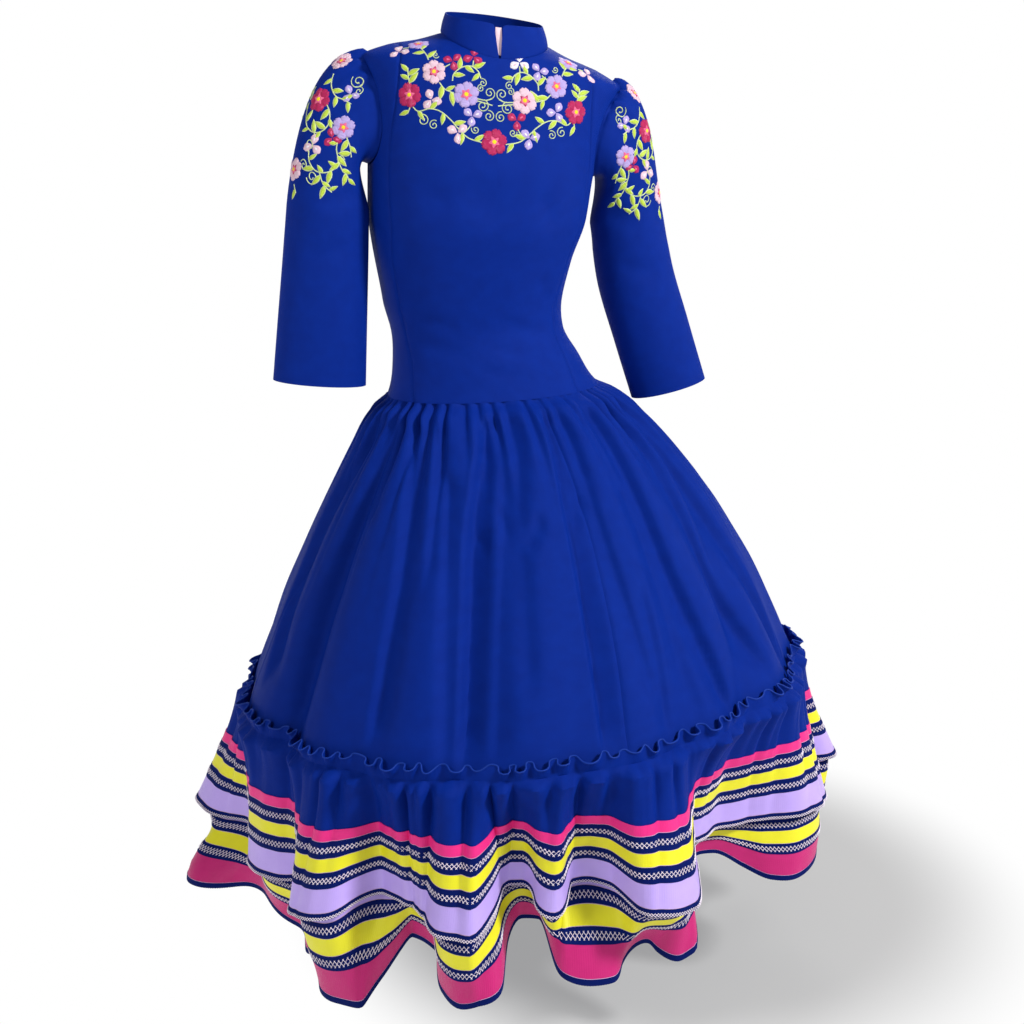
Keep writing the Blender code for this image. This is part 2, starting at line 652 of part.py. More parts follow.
def make_collar(blue, pale):
    """Two stand collar halves with a notch between them, and the pale strip behind the notch."""
    base, normals = neck_ring()
    up = away_from_cloth(np.gradient(base, axis=0), normals, np.array([0, 0, 1.0]))
    outer_base = base + CLOTH * normals
    turn = np.arctan2(base[:, 0], -base[:, 1])
    lean = np.stack([np.sin(turn), -np.cos(turn), 0 * turn], axis=-1)
    top_level = COLLAR_TOP_BACK + (COLLAR_TOP_FRONT - COLLAR_TOP_BACK) * (1 + np.cos(turn)) / 2
    top = np.stack([base[:, 0] * COLLAR_TOP_WIDTH, base[:, 1] * COLLAR_TOP_WIDTH, top_level], axis=-1)
    rows_inner = [base + LAID_GAP * up]
    rows_outer = [outer_base + LAID_GAP * up]
    for share in COLLAR_HEIGHTS:
        row = base * (1 - share) + top * share
        rows_inner.append(row)
        rows_outer.append(row + CLOTH * lean)
    inner, outer = np.array(rows_inner), np.array(rows_outer)
    notch = np.interp([0, *COLLAR_HEIGHTS], [0, 1], [COLLAR_NOTCH_BASE, COLLAR_NOTCH_TOP])
    for rows in (inner, outer):
        rows[:, 0, 0] += notch
        rows[:, -1, 0] += SEAM_GAP / 2
        rows[-1, 0, 2] -= COLLAR_CORNER_DROP
    grid = grid_numbers(inner)
    for side, name in ((1, "left"), (-1, "right")):
        flip = np.array([side, 1, 1])
        wall(f"collar_{name}", stance(inner.reshape(-1, 3) * flip), stance(outer.reshape(-1, 3) * flip),
             triangles(grid), blue)

    across = np.linspace(-UNDERLAP_HALF_WIDTH, UNDERLAP_HALF_WIDTH, 3)
    share = np.array(UNDERLAP_HEIGHTS)[:, None]
    centre = base[0] * (1 - share) + top[0] * share
    centre[-1, 2] -= UNDERLAP_DROP
    strip = centre[:, None, :] + across[None, :, None] * np.array([1, 0, 0])
    strip = strip + np.array([0, UNDERLAP_BEHIND, 0])
    back = strip + np.array([0, SATIN, 0])
    wall("collar_underlap", stance(back.reshape(-1, 3)), stance(strip.reshape(-1, 3)),
         triangles(grid_numbers(strip)), pale)


# Sleeves

def armhole_ring(side):
    """The armhole's edge, worn: its inner and outer points, round from the armpit by the front."""
    front = [edge[LOW_ROWS:] for edge in side_edge("front_angle")]
    back = [edge[LOW_ROWS:][-2:0:-1] for edge in side_edge("back_angle")]
    angle, level = np.r_[front[0], back[0]], np.r_[front[1], back[1]]
    points, normals = section_point(angle, level), section_normal(angle, level)
    along = np.roll(points, -1, axis=0) - np.roll(points, 1, axis=0)
    away = away_from_cloth(along, normals, points.mean(axis=0) - points)
    flip = np.array([side, 1, 1])
    mitre = LAID_GAP + CLOTH * np.clip(away[:, 2:], 0, 1)
    inner = points + mitre * away
    outer = points + CLOTH * normals + LAID_GAP * away
    return stance(inner * flip), stance(outer * flip)


def split_ring(ring, splits):
    """A closed ring with each span cut into equal parts."""
    parts = []
    for k, count in enumerate(splits):
        share = np.arange(count)[:, None] / count
        parts.append(ring[k] * (1 - share) + ring[(k + 1) % len(ring)] * share)
    return np.concatenate(parts)


def arm_ring(line, down, turn_round, side):
    """A ring round the arm at a share of the way down. Its turn starts at the side next to the body."""
    row = {name: line[name](down) for name in SLEEVE_COLUMNS[1:]}
    yaw, tilt = np.radians(row["turn"]), np.radians(row["tilt"])
    across = -np.cos(turn_round) * row["half_width"] * side
    deep = -np.sin(turn_round) * row["half_depth"]
    x = across * np.cos(yaw) * np.cos(tilt) - deep * np.sin(yaw)
    y = across * np.sin(yaw) + deep * np.cos(yaw)
    z = -across * np.sin(tilt)
    centre = np.array([row["x"], row["y"], row["z"]])
    return centre + np.stack([x, y, z], axis=-1)


def surface_normals(grid):
    """Outward normals of a closed tube of points, each the mean of the cells that meet there."""
    down = np.diff(grid, axis=0)
    across = np.roll(grid, -1, axis=1) - grid
    cells = unit(np.cross(down + np.roll(down, -1, axis=1), across[1:] + across[:-1]))
    cells = np.concatenate([cells[:1], cells, cells[-1:]])
    cells = cells[1:] + cells[:-1]
    normals = unit(cells + np.roll(cells, 1, axis=1))
    middle = grid[-1].mean(axis=0)
    return normals if np.sum(normals[-1] * (grid[-1] - middle)) > 0 else -normals


def half_shares(length, start, end):
    """How far each point from start up to end lies along that stretch, as a share of half the ring."""
    return (length[start:end] - length[start]) / (length[end] - length[start]) / 2


def make_sleeve(name, side, rows, spread, lift, blue):
    """A sleeve: its cap leaves the armhole and joins the biceps ring, and the arm's rings follow."""
    line = smooth_lines(SLEEVE_COLUMNS, rows)
    splits = CAP_SPLITS + CAP_SPLITS[::-1]
    inner, outer = (split_ring(ring, splits) for ring in armhole_ring(side))
    step = np.linalg.norm(np.roll(outer, -1, axis=0) - outer, axis=1)
    tip = sum(CAP_SPLITS)
    length = np.r_[0, np.cumsum(step)]
    share = np.r_[half_shares(length, 0, tip), 0.5 + half_shares(length, tip, len(length) - 1)]
    turn_round = 2 * np.pi * share
    cap = (1 - np.cos(turn_round)) / 2
    puff = np.cos(2 * np.pi * CAP_GATHERS * (share - 0.5)) * CAP_GATHER_DEPTH
    puff = puff * ease((cap - CAP_GATHER_FROM) / CAP_GATHER_RISE)
    normal = unit(outer - inner)
    biceps = arm_ring(line, 0.0, turn_round, side)
    arm_way = unit(arm_ring(line, ARM_STEP, turn_round, side) - biceps)
    pull = (ARM_PULL_UNDER + (ARM_PULL_TOP - ARM_PULL_UNDER) * cap)[:, None]
    leave = np.array([side, 0, 0]) * (UNDERARM_SPREAD + (spread - UNDERARM_SPREAD) * cap)[:, None]
    rise = lift * cap**2 + UNDERARM_LIFT * (1 - cap)**UNDERARM_SHARPNESS
    leave = leave + np.array([0, 0, 1]) * rise[:, None]
    grid = []
    for row in range(CAP_RINGS + 1):
        t = row / CAP_RINGS
        ring = ((2 * t**3 - 3 * t**2 + 1) * outer + (t**3 - 2 * t**2 + t) * leave
                + (3 * t**2 - 2 * t**3) * biceps + (t**3 - t**2) * pull * arm_way)
        grid.append(ring + normal * (puff * (1 - t)**CAP_GATHER_FADE)[:, None])
    for row in range(1, ARM_RINGS + 1):
        grid.append(arm_ring(line, row / ARM_RINGS, turn_round, side))
    outside = np.array(grid)
    inside = outside - CLOTH * surface_normals(outside)
    inside[0] = inner + normal * puff[:, None]
    ring_numbers = np.arange(outside.shape[1])
    numbers = np.stack([np.r_[ring_numbers, 0] + k * len(ring_numbers) for k in range(len(outside))])
    wall(name, inside.reshape(-1, 3), outside.reshape(-1, 3), triangles(numbers), blue)


# Skirt

def skirt_ring(azimuth, level):
    """Skirt points at one level, worn. The azimuth is in degrees from the front, +90 the wearer's left."""
    angle = np.radians(azimuth)
    power = 2 / BODY["squareness"](level)
    x = BODY["half_width"](level) * np.sign(np.sin(angle)) * np.abs(np.sin(angle))**power
    depth = np.where(np.cos(angle) > 0, BODY["front"](level), BODY["back"](level))
    y = -depth * np.sign(np.cos(angle)) * np.abs(np.cos(angle))**power
    down = (WAIST_SEAM - level) / (WAIST_SEAM - SKIRT_END)
    uneven = WAIST_GATHERS * angle
    for waves, strength, phase in GATHER_SHIFTS:
        uneven = uneven + strength * np.sin(waves * angle + phase)
    waves, strength, phase = GATHER_DEPTH_WAVE
    push = GATHER["depth"](level) * np.cos(uneven)
    push = push * (1 - strength + strength * np.sin(waves * angle + phase))
    folds = table(SKIRT_FOLD_COLUMNS, SKIRT_FOLD_ROWS)
    for k in range(len(folds["azimuth"])):
        line = folds["azimuth"][k] + folds["drift"][k] * (1 - down)
        grow = ease((down - folds["start"][k]) / SKIRT_FOLD_GROWTH)
        push = push - folds["depth"][k] * grow * np.exp(-(around(azimuth - line) / folds["width"][k])**2)
    points = np.stack([x + push * np.sin(angle), y - push * np.cos(angle), level + 0 * x], axis=-1)
    return stance(points)


def level_normals(ring):
    """Outward normals in the plan of a closed ring, each the mean of the two spans that meet there."""
    along = np.roll(ring, -1, axis=0) - ring
    spans = unit(np.stack([along[:, 1], -along[:, 0], 0 * along[:, 0]], axis=-1))
    return unit(spans + np.roll(spans, 1, axis=0))


def round_columns(count):
    """Equally spaced azimuths all round."""
    return -180 + 360 * np.arange(count) / count


def skirt_rows():
    """The skirt's rings from waist to lower edge: azimuths, inner points and outer points of each."""
    rows = []
    for levels, count in ((SKIRT_FINE_LEVELS, SKIRT_FINE), (SKIRT_BROAD_LEVELS, SKIRT_BROAD)):
        for level in levels:
            azimuth = round_columns(count)
            inner = skirt_ring(azimuth, level)
            rows.append((azimuth, inner, inner + CLOTH * level_normals(inner)))
    for ring in rows[0][1:]:
        ring[:, 2] -= SEAM_GAP
    return rows


def panel_part(row, start, end):
    """The part of a ring between two seams, its ends drawn in by half a gap."""
    azimuth, inner, outer = row
    count = len(azimuth)
    first = round((start + 180) * count / 360)
    last = round((end + 180) * count / 360)
    pick = np.arange(first, last + 1) % count
    inner, outer = inner[pick].copy(), outer[pick].copy()
    for at, beside in ((0, 1), (-1, -2)):
        way = SEAM_STEP_IN * unit(inner[beside] - inner[at])
        inner[at] += way
        outer[at] += way
    return inner, outer


def make_skirt(blue, rows):
    """The four skirt panels, each between two seams."""
    for name, (start, end) in SKIRT_SEAMS.items():
        inner, outer, faces, before = [], [], [], None
        base = 0
        for row in rows:
            part_inner, part_outer = panel_part(row, start, end)
            numbers = base + np.arange(len(part_inner))
            base += len(part_inner)
            inner.append(part_inner)
            outer.append(part_outer)
            if before is not None and len(before) == len(numbers):
                faces.append(triangles(np.stack([before, numbers])))
            elif before is not None:
                faces.append(half_as_many(before, numbers))
            before = numbers
        wall(name, np.concatenate(inner), np.concatenate(outer), np.concatenate(faces), blue)


def half_as_many(upper, lower):
    """Triangles between a row and one with every second column of it."""
    faces = []
    for k in range(len(lower) - 1):
        a, b, c = upper[2 * k:2 * k + 3]
        faces += [(a, b, lower[k]), (b, lower[k + 1], lower[k]), (b, c, lower[k + 1])]
    return np.array(faces)


# Flounces

def fold_line(rows):
    """Out and fall of a hem at any azimuth, eased between the rows of its fold table."""
    data = table(FOLD_COLUMNS, rows)
    at = np.r_[data["azimuth"], data["azimuth"][0] + 360]

    def line(azimuth):
        azimuth = (np.asarray(azimuth, float) - at[0]) % 360 + at[0]
        k = np.clip(np.searchsorted(at, azimuth, side="right") - 1, 0, len(at) - 2)
        share = ease((azimuth - at[k]) / (at[k + 1] - at[k]))
        ends = [np.r_[data[name], data[name][0]] for name in ("out", "fall")]
        return tuple(values[k] * (1 - share) + values[k + 1] * share for values in ends)

    return line


UPPER_HEM = fold_line(UPPER_FOLDS)
LOWER_HEM = fold_line(LOWER_FOLDS)


def flounce_columns():
    """Azimuths of the flounces' columns: the upper flounce's folds, and one between where they are wide."""
    at = [row[0] for row in UPPER_FOLDS]
    columns = []
    for here, there in zip(at, at[1:] + [at[0] + 360]):
        columns += [here, (here + there) / 2] if there - here > WIDE_FOLD else [here]
    return np.sort(around(columns))


def carried(azimuth, out, fall):
    """The skirt's lower edge moved outward and down, by azimuth."""
    base = skirt_ring(azimuth, SKIRT_END)
    angle = np.radians(azimuth)
    return base + np.stack([out * np.sin(angle), -out * np.cos(angle), -fall], axis=-1)


def upper_ring(azimuth, down):
    """The upper flounce at a distance down it. Valleys go in quickly, and lobes come out evenly."""
    out, fall = UPPER_HEM(azimuth)
    share = down / UPPER_LENGTH
    deep = 1 - (1 - min(share, 1))**2
    return carried(azimuth, np.where(out < 0, out * deep, out * share) + CLOTH + LAID_GAP, fall * share)


def lower_ring(azimuth, down):
    """The lower flounce at a distance down it: tucked behind the upper one, then free."""
    tucked = upper_ring(azimuth, down)
    tuck = LOWER_TOP_TUCK + (LOWER_TUCK - LOWER_TOP_TUCK) * ease(down / LOWER_TUCKED_BY)
    angle = np.radians(azimuth)
    straight = np.stack([np.sin(angle), -np.cos(angle), 0 * angle], axis=-1)
    tucked = tucked - (level_normals(tucked) + straight) / 2 * (CLOTH + LAID_GAP + tuck)
    out, fall = LOWER_HEM(azimuth)
    own = carried(azimuth, out, fall * down / LOWER_LENGTH)
    free = ease((down - LOWER_FREE_FROM) / (LOWER_LENGTH - LOWER_FREE_FROM))
    return tucked * (1 - free) + own * free


def on_ring(azimuth, ring_azimuth, ring):
    """Points of a closed ring's straight spans at the given azimuths."""
    at = np.r_[ring_azimuth, ring_azimuth[0] + 360]
    closed = np.concatenate([ring, ring[:1]])
    return np.stack([np.interp(azimuth, at, closed[:, k]) for k in range(3)], axis=-1)


def heading_rows(rows):
    """The standing heading: its wavy top edge and its gathering line, both against the skirt."""
    azimuth = round_columns(HEADING_COLUMNS_ROUND)
    angle = np.radians(azimuth)
    (_, _, above), (at, _, edge) = rows[-2], rows[-1]
    normals = level_normals(edge)
    line_inner = on_ring(azimuth, at, edge + LAID_GAP * normals)
    line_outer = on_ring(azimuth, at, edge + (LAID_GAP + CLOTH) * normals)
    share = HEADING_HEIGHT / (SKIRT_BROAD_LEVELS[-2] - SKIRT_BROAD_LEVELS[-1])
    lean = on_ring(azimuth, at, edge * (1 - share) + above * share)
    wave = HEADING_WAVES * angle
    uneven = HEADING_DEPTH_MEAN
    for waves, strength in HEADING_DEPTH_WAVES:
        uneven = uneven + strength * np.sin(waves * angle)
    stand = HEADING_STAND + HEADING_WAVE_DEPTH * uneven * (1 + np.cos(wave))
    normals = on_ring(azimuth, at, normals)
    top_inner = lean + normals * stand[:, None]
    top_inner[:, 2] += HEADING_WAVE_RISE * np.sin(HEADING_RISE_WAVES * angle)
    top_outer = top_inner + CLOTH * normals
    return azimuth, (top_inner, top_outer), (line_inner, line_outer)


def tucked_line(rows):
    """The lower flounce's gathered top, a seam's gap under the skirt's lower edge."""
    at, inner, outer = rows[-1]
    azimuth = round_columns(HEADING_COLUMNS_ROUND)
    shift = level_normals(inner) * -LOWER_TOP_TUCK + np.array([0, 0, -SEAM_GAP])
    return on_ring(azimuth, at, inner + shift), on_ring(azimuth, at, outer + shift)


def flounce_rings(make_ring, downs):
    """Inner points, outer points and normals of a flounce at each distance down it."""
    azimuth = flounce_columns()
    grid = np.array([make_ring(azimuth, down) for down in downs])
    normals = surface_normals(grid)
    return azimuth, [(ring, ring + CLOTH * normal, normal) for ring, normal in zip(grid, normals)]


def ring_faces(first, second):
    """Triangles between two closed rings with the same columns."""
    return triangles(np.stack([np.r_[first, first[0]], np.r_[second, second[0]]]))


def make_ribbon(name, ring_top, ring_bottom, satin):
    """A ribbon laid on its flounce between two of the flounce's own rings."""
    inner, outer = [], []
    for _, cloth_outer, normals in (ring_top, ring_bottom):
        inner.append(cloth_outer + LAID_GAP * normals)
        outer.append(cloth_outer + (LAID_GAP + SATIN) * normals)
    numbers = np.arange(len(inner[0]))
    return wall(name, np.concatenate(inner), np.concatenate(outer),
                ring_faces(numbers, numbers + len(numbers)), satin)


def make_flounces(blue, satins, rows):
    """Both flounces, their rings at the ribbons' edges, and the ribbons on them."""
    ribbons = [dict(zip(RIBBON_COLUMNS, row)) for row in RIBBON_ROWS]
    edges = {which: sorted(r[end] for r in ribbons if r["flounce"] == which for end in ("top", "bottom"))
             for which in ("upper", "lower")}

    upper_downs = edges["upper"] + [UPPER_LENGTH]
    azimuth, rings = flounce_rings(upper_ring, upper_downs)
    heading_azimuth, top, line = heading_rows(rows)
    inner = [top[0], line[0]] + [ring[0] for ring in rings]
    outer = [top[1], line[1]] + [ring[1] for ring in rings]
    starts = np.cumsum([0] + [len(ring) for ring in inner])
    numbers = [np.arange(start, start + len(ring)) for start, ring in zip(starts, inner)]
    faces = [ring_faces(numbers[0], numbers[1]),
             strip_between(numbers[1], heading_azimuth, numbers[2], azimuth)]
    faces += [ring_faces(a, b) for a, b in zip(numbers[2:], numbers[3:])]
    wall("flounce_upper", np.concatenate(inner), np.concatenate(outer), np.concatenate(faces), blue)
    laid = {("upper", down): ring for down, ring in zip(upper_downs, rings)}

    lower_downs = [LOWER_MIDDLE] + edges["lower"] + [LOWER_LENGTH]
    azimuth, rings = flounce_rings(lower_ring, lower_downs)
    top = tucked_line(rows)
    inner = [top[0]] + [ring[0] for ring in rings]
    outer = [top[1]] + [ring[1] for ring in rings]
    starts = np.cumsum([0] + [len(ring) for ring in inner])
    numbers = [np.arange(start, start + len(ring)) for start, ring in zip(starts, inner)]
    faces = [strip_between(numbers[0], heading_azimuth, numbers[1], azimuth)]
    faces += [ring_faces(a, b) for a, b in zip(numbers[1:], numbers[2:])]
    wall("flounce_lower", np.concatenate(inner), np.concatenate(outer), np.concatenate(faces), blue)
    laid.update({("lower", down): ring for down, ring in zip(lower_downs, rings)})

    for ribbon in ribbons:
        colour = ribbon["name"].rsplit("_", 1)[1]
        make_ribbon(ribbon["name"], laid[ribbon["flounce"], ribbon["top"]],
                    laid[ribbon["flounce"], ribbon["bottom"]], satins[colour])


# The dress

def clear_scene():
    for old in list(bpy.data.objects):
        bpy.data.objects.remove(old, do_unlink=True)


def make_finishes():
    """One material for each finish, by name."""
    finishes = {}
    for name, colour, roughness, metallic in FINISH_ROWS:
        finish = bpy.data.materials.new(name)
        finish.use_nodes = True
        shader = finish.node_tree.nodes["Principled BSDF"]
        shader.inputs["Base Color"].default_value = (*colour, 1)
        shader.inputs["Roughness"].default_value = roughness
        shader.inputs["Metallic"].default_value = metallic
        finish.diffuse_color = (*colour, 1)
        finishes[name] = finish
    return finishes


def make_dress():
    clear_scene()
    finishes = make_finishes()
    blue = finishes["royal_blue_cloth"]
    satins = {colour: finishes[f"{colour}_satin"] for colour in ("pink", "yellow", "lilac", "magenta")}
    make_bodice(blue)
    make_collar(blue, finishes["pale_pink_cloth"])
    make_sleeve("sleeve_right", -1, SLEEVE_RIGHT, **SLEEVE_CAPS["right"], blue=blue)
    make_sleeve("sleeve_left", 1, SLEEVE_LEFT, **SLEEVE_CAPS["left"], blue=blue)
    rows = skirt_rows()
    make_skirt(blue, rows)
    make_flounces(blue, satins, rows)


make_dress()
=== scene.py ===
"""Looks of the escaramuza dress: fine cloth, gathers, ribbons, trims and embroidery over its solids.

Metres, +Z up, the front faces -Y and the wearer's left is +X, in the same frame as the solids.
"""

import bpy
import math
import numpy as np
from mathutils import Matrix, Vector
from mathutils.bvhtree import BVHTree


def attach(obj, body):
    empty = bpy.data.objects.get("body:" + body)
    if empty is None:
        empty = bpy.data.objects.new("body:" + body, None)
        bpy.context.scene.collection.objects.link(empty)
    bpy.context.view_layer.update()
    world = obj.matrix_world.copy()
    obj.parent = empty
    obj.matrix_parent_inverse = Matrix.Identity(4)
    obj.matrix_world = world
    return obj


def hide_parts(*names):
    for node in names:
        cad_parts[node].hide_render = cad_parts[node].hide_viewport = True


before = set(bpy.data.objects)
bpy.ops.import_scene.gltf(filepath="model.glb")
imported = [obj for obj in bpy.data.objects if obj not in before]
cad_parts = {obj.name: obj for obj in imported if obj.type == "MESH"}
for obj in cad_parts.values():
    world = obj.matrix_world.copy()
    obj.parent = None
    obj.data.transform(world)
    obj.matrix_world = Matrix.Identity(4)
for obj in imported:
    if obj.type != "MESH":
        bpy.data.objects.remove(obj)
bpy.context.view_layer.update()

# Both halves of the dress: the way that X runs, and the name
SIDES = ((1, "left"), (-1, "right"))

# Cloth and seams, as in the solids
CLOTH = 0.0016
SATIN = 0.001
SEAM_STEP_IN = 0.00003
LAID_GAP = 0.0004

COLLAR_TOP_BACK = 0.036
COLLAR_TOP_FRONT = 0.024
NECK_FRONT = -0.024
NECK_BACK = -0.006
NECK_SIDE = 0.0
SHOULDER_TIP = -0.037
ARMPIT = -0.19
BUST_LINE = -0.24
WAIST_SEAM = -0.52
SKIRT_END = -0.985

# The body: sections from the neck down to the skirt's lower edge. Roll and yaw are in degrees.
BODY_COLUMNS = ("level", "half_width", "front", "back", "squareness", "shift", "roll", "yaw")
BODY_ROWS = (
    (0.0, 0.077, 0.074, 0.066, 2.1, 0.0, -7.0, 6.0),
    (-0.013, 0.11, 0.078, 0.072, 2.2, -0.001, -7.0, 7.0),
    (-0.026, 0.155, 0.085, 0.08, 2.25, -0.002, -7.0, 8.0),
    (-0.046, 0.189, 0.09, 0.086, 2.3, -0.004, -7.0, 8.5),
    (-0.072, 0.183, 0.099, 0.093, 2.3, -0.007, -6.4, 9.0),
    (-0.12, 0.174, 0.112, 0.101, 2.35, -0.013, -5.5, 10.0),
    (-0.19, 0.167, 0.126, 0.106, 2.35, -0.021, -4.5, 12.0),
    (-0.25, 0.1635, 0.127, 0.104, 2.3, -0.026, -3.5, 12.5),
    (-0.32, 0.148, 0.116, 0.096, 2.25, -0.033, -2.0, 11.0),
    (-0.38, 0.136, 0.105, 0.089, 2.2, -0.034, -0.5, 9.0),
    (-0.425, 0.131, 0.099, 0.086, 2.2, -0.027, 0.5, 7.0),
    (-0.47, 0.142, 0.103, 0.095, 2.2, -0.014, 1.5, 6.0),
    (-0.52, 0.162, 0.112, 0.112, 2.15, -0.003, 2.7, 5.0),
    (-0.535, 0.185, 0.132, 0.134, 2.1, 0.002, 2.9, 4.5),
    (-0.56, 0.212, 0.16, 0.162, 2.05, 0.009, 3.1, 4.0),
    (-0.59, 0.236, 0.187, 0.19, 2.0, 0.016, 3.2, 3.5),
    (-0.64, 0.271, 0.228, 0.232, 2.0, 0.023, 3.4, 3.0),
    (-0.7, 0.309, 0.272, 0.276, 2.0, 0.029, 3.7, 2.4),
    (-0.76, 0.343, 0.312, 0.316, 2.0, 0.033, 3.9, 1.8),
    (-0.82, 0.376, 0.35, 0.353, 2.0, 0.036, 4.1, 1.2),
    (-0.88, 0.403, 0.384, 0.386, 2.0, 0.038, 4.3, 0.8),
    (-0.94, 0.428, 0.414, 0.415, 2.0, 0.039, 4.5, 0.3),
    (-0.985, 0.443, 0.436, 0.436, 2.0, 0.04, 4.7, 0.0),
)

# The princess seam: how far out it lies at each level
PRINCESS_COLUMNS = ("level", "out")
PRINCESS_ROWS = (
    (0.0, 0.14),
    (-0.1, 0.147),
    (-0.15, 0.15),
    (-0.22, 0.146),
    (-0.3, 0.134),
    (-0.425, 0.112),
    (-0.52, 0.124),
)
SHOULDER_SPLIT = 0.14
PRINCESS_YOKE = -0.225

# The armhole's edge: its angles on the front and on the back at each level
ARMHOLE_COLUMNS = ("level", "front_angle", "back_angle")
ARMHOLE_ROWS = (
    (-0.19, 90.0, 90.0),
    (-0.18, 78.0, 101.0),
    (-0.162, 70.0, 109.0),
    (-0.13, 65.0, 113.0),
    (-0.09, 67.0, 111.0),
    (-0.058, 76.0, 104.0),
    (-0.037, 90.0, 90.0),
)

NECK_RADIUS = 0.077
NECK_CURVE = 1.5
COLLAR_TOP_WIDTH = 0.9
COLLAR_NOTCH_BASE = 0.0012
COLLAR_NOTCH_TOP = 0.0065
COLLAR_CORNER_DROP = 0.003
UNDERLAP_HALF_WIDTH = 0.0045
UNDERLAP_DROP = 0.004
UNDERLAP_BEHIND = 0.0005

# Sleeves: sections down the arm
SLEEVE_COLUMNS = ("down", "x", "y", "z", "half_width", "half_depth", "turn", "tilt")
SLEEVE_RIGHT = (
    (0.0, -0.245, -0.06, -0.24, 0.061, 0.048, 8.0, 5.0),
    (0.33, -0.251, -0.063, -0.325, 0.064, 0.045, 8.0, 5.0),
    (0.66, -0.2575, -0.066, -0.411, 0.067, 0.042, 8.0, 5.0),
    (1.0, -0.264, -0.068, -0.498, 0.07, 0.039, 8.0, 5.0),
)
SLEEVE_LEFT = (
    (0.0, 0.2025, 0.06, -0.258, 0.0575, 0.048, 8.0, -16.0),
    (0.33, 0.218, 0.066, -0.346, 0.0605, 0.045, 8.0, -16.0),
    (0.66, 0.247, 0.072, -0.441, 0.061, 0.042, 8.0, -15.0),
    (1.0, 0.277, 0.078, -0.535, 0.061, 0.039, 8.0, -14.0),
)
SLEEVE_CAPS = {"right": {"spread": 0.25, "lift": 0.045}, "left": {"spread": 0.15, "lift": 0.06}}
UNDERARM_SPREAD = 0.09
UNDERARM_LIFT = 0.06
UNDERARM_SHARPNESS = 6
ARM_PULL_UNDER = 0.051
ARM_PULL_TOP = 0.17
ARM_STEP = 0.05

# Skirt: broad soft valleys. Drift is how far each turns between the lower edge and the waist.
SKIRT_FOLD_COLUMNS = ("azimuth", "drift", "depth", "width", "start")
SKIRT_FOLD_ROWS = (
    (-170.0, 4.0, 0.018, 8.0, 0.2),
    (-146.0, -4.0, 0.014, 7.0, 0.1),
    (-118.0, 5.0, 0.022, 8.0, 0.25),
    (-86.0, 2.0, 0.012, 7.0, 0.3),
    (-54.0, -4.0, 0.026, 6.0, 0.1),
    (-33.0, -4.0, 0.006, 6.0, 0.2),
    (-12.0, -1.0, 0.009, 6.0, 0.0),
    (10.0, 6.0, 0.005, 5.0, 0.1),
    (33.0, 8.0, 0.018, 6.0, 0.35),
    (50.0, 22.0, 0.02, 6.0, 0.0),
    (78.0, 6.0, 0.014, 8.0, 0.3),
    (104.0, -5.0, 0.02, 8.0, 0.15),
    (133.0, 4.0, 0.016, 7.0, 0.25),
    (160.0, -3.0, 0.02, 8.0, 0.1),
)
SKIRT_SEAMS = {"skirt_front": (-75, 20), "skirt_side_left": (20, 75), "skirt_back": (75, 180),
               "skirt_side_right": (-180, -75)}
SKIRT_FOLD_GROWTH = 0.6
# The waist's gathers, and the waves round it that shift them and vary their depth: how many, strength and start
WAIST_GATHERS = 48
GATHER_SHIFTS = ((5, 0.8, 0.0), (11, 0.5, 1.0), (17, 0.6, 2.0), (29, 0.5, 0.5))
GATHER_DEPTH_WAVE = (7, 0.25, 0.5)
GATHER_COLUMNS = ("level", "depth")
GATHER_ROWS = (
    (-0.52, 0.0024),
    (-0.545, 0.0046),
    (-0.6, 0.0022),
    (-0.66, 0.0006),
    (-0.72, 0.0),
    (-0.985, 0.0),
)

# Flounces: the hem's folds. Out and fall are how far the hem lies out from and below the skirt's lower edge.
FOLD_COLUMNS = ("azimuth", "out", "fall")
UPPER_FOLDS = (
    (-173.0, -0.035, 0.195),
    (-163.0, 0.06, 0.21),
    (-152.0, -0.035, 0.195),
    (-141.0, 0.062, 0.21),
    (-130.0, -0.035, 0.195),
    (-120.0, 0.06, 0.21),
    (-110.0, -0.03, 0.2),
    (-101.0, 0.045, 0.205),
    (-96.0, 0.06, 0.203),
    (-91.0, 0.1, 0.2),
    (-84.0, 0.05, 0.205),
    (-76.0, -0.01, 0.205),
    (-66.0, 0.018, 0.218),
    (-56.0, 0.03, 0.22),
    (-50.0, 0.005, 0.215),
    (-42.0, 0.056, 0.218),
    (-35.5, 0.065, 0.212),
    (-32.0, 0.025, 0.198),
    (-28.5, -0.023, 0.196),
    (-22.0, -0.01, 0.2),
    (-16.5, 0.015, 0.206),
    (-12.5, 0.05, 0.215),
    (-8.5, 0.06, 0.217),
    (-6.5, 0.005, 0.2),
    (-4.5, -0.036, 0.186),
    (0.0, -0.045, 0.18),
    (3.5, -0.01, 0.199),
    (6.0, 0.01, 0.212),
    (8.5, -0.028, 0.198),
    (12.5, -0.04, 0.187),
    (16.5, -0.022, 0.196),
    (20.0, 0.038, 0.209),
    (24.5, 0.06, 0.211),
    (29.0, 0.07, 0.217),
    (33.0, 0.02, 0.2),
    (38.0, -0.035, 0.18),
    (46.0, -0.042, 0.19),
    (55.0, -0.036, 0.2),
    (61.0, -0.012, 0.2),
    (67.0, 0.035, 0.2),
    (75.0, 0.064, 0.205),
    (82.0, 0.05, 0.205),
    (88.0, 0.0, 0.205),
    (96.0, 0.095, 0.205),
    (103.0, 0.03, 0.205),
    (109.0, -0.035, 0.195),
    (120.0, 0.06, 0.21),
    (131.0, -0.035, 0.195),
    (142.0, 0.062, 0.21),
    (152.0, -0.035, 0.195),
    (162.0, 0.05, 0.21),
    (169.0, -0.03, 0.195),
    (178.0, 0.055, 0.21),
)
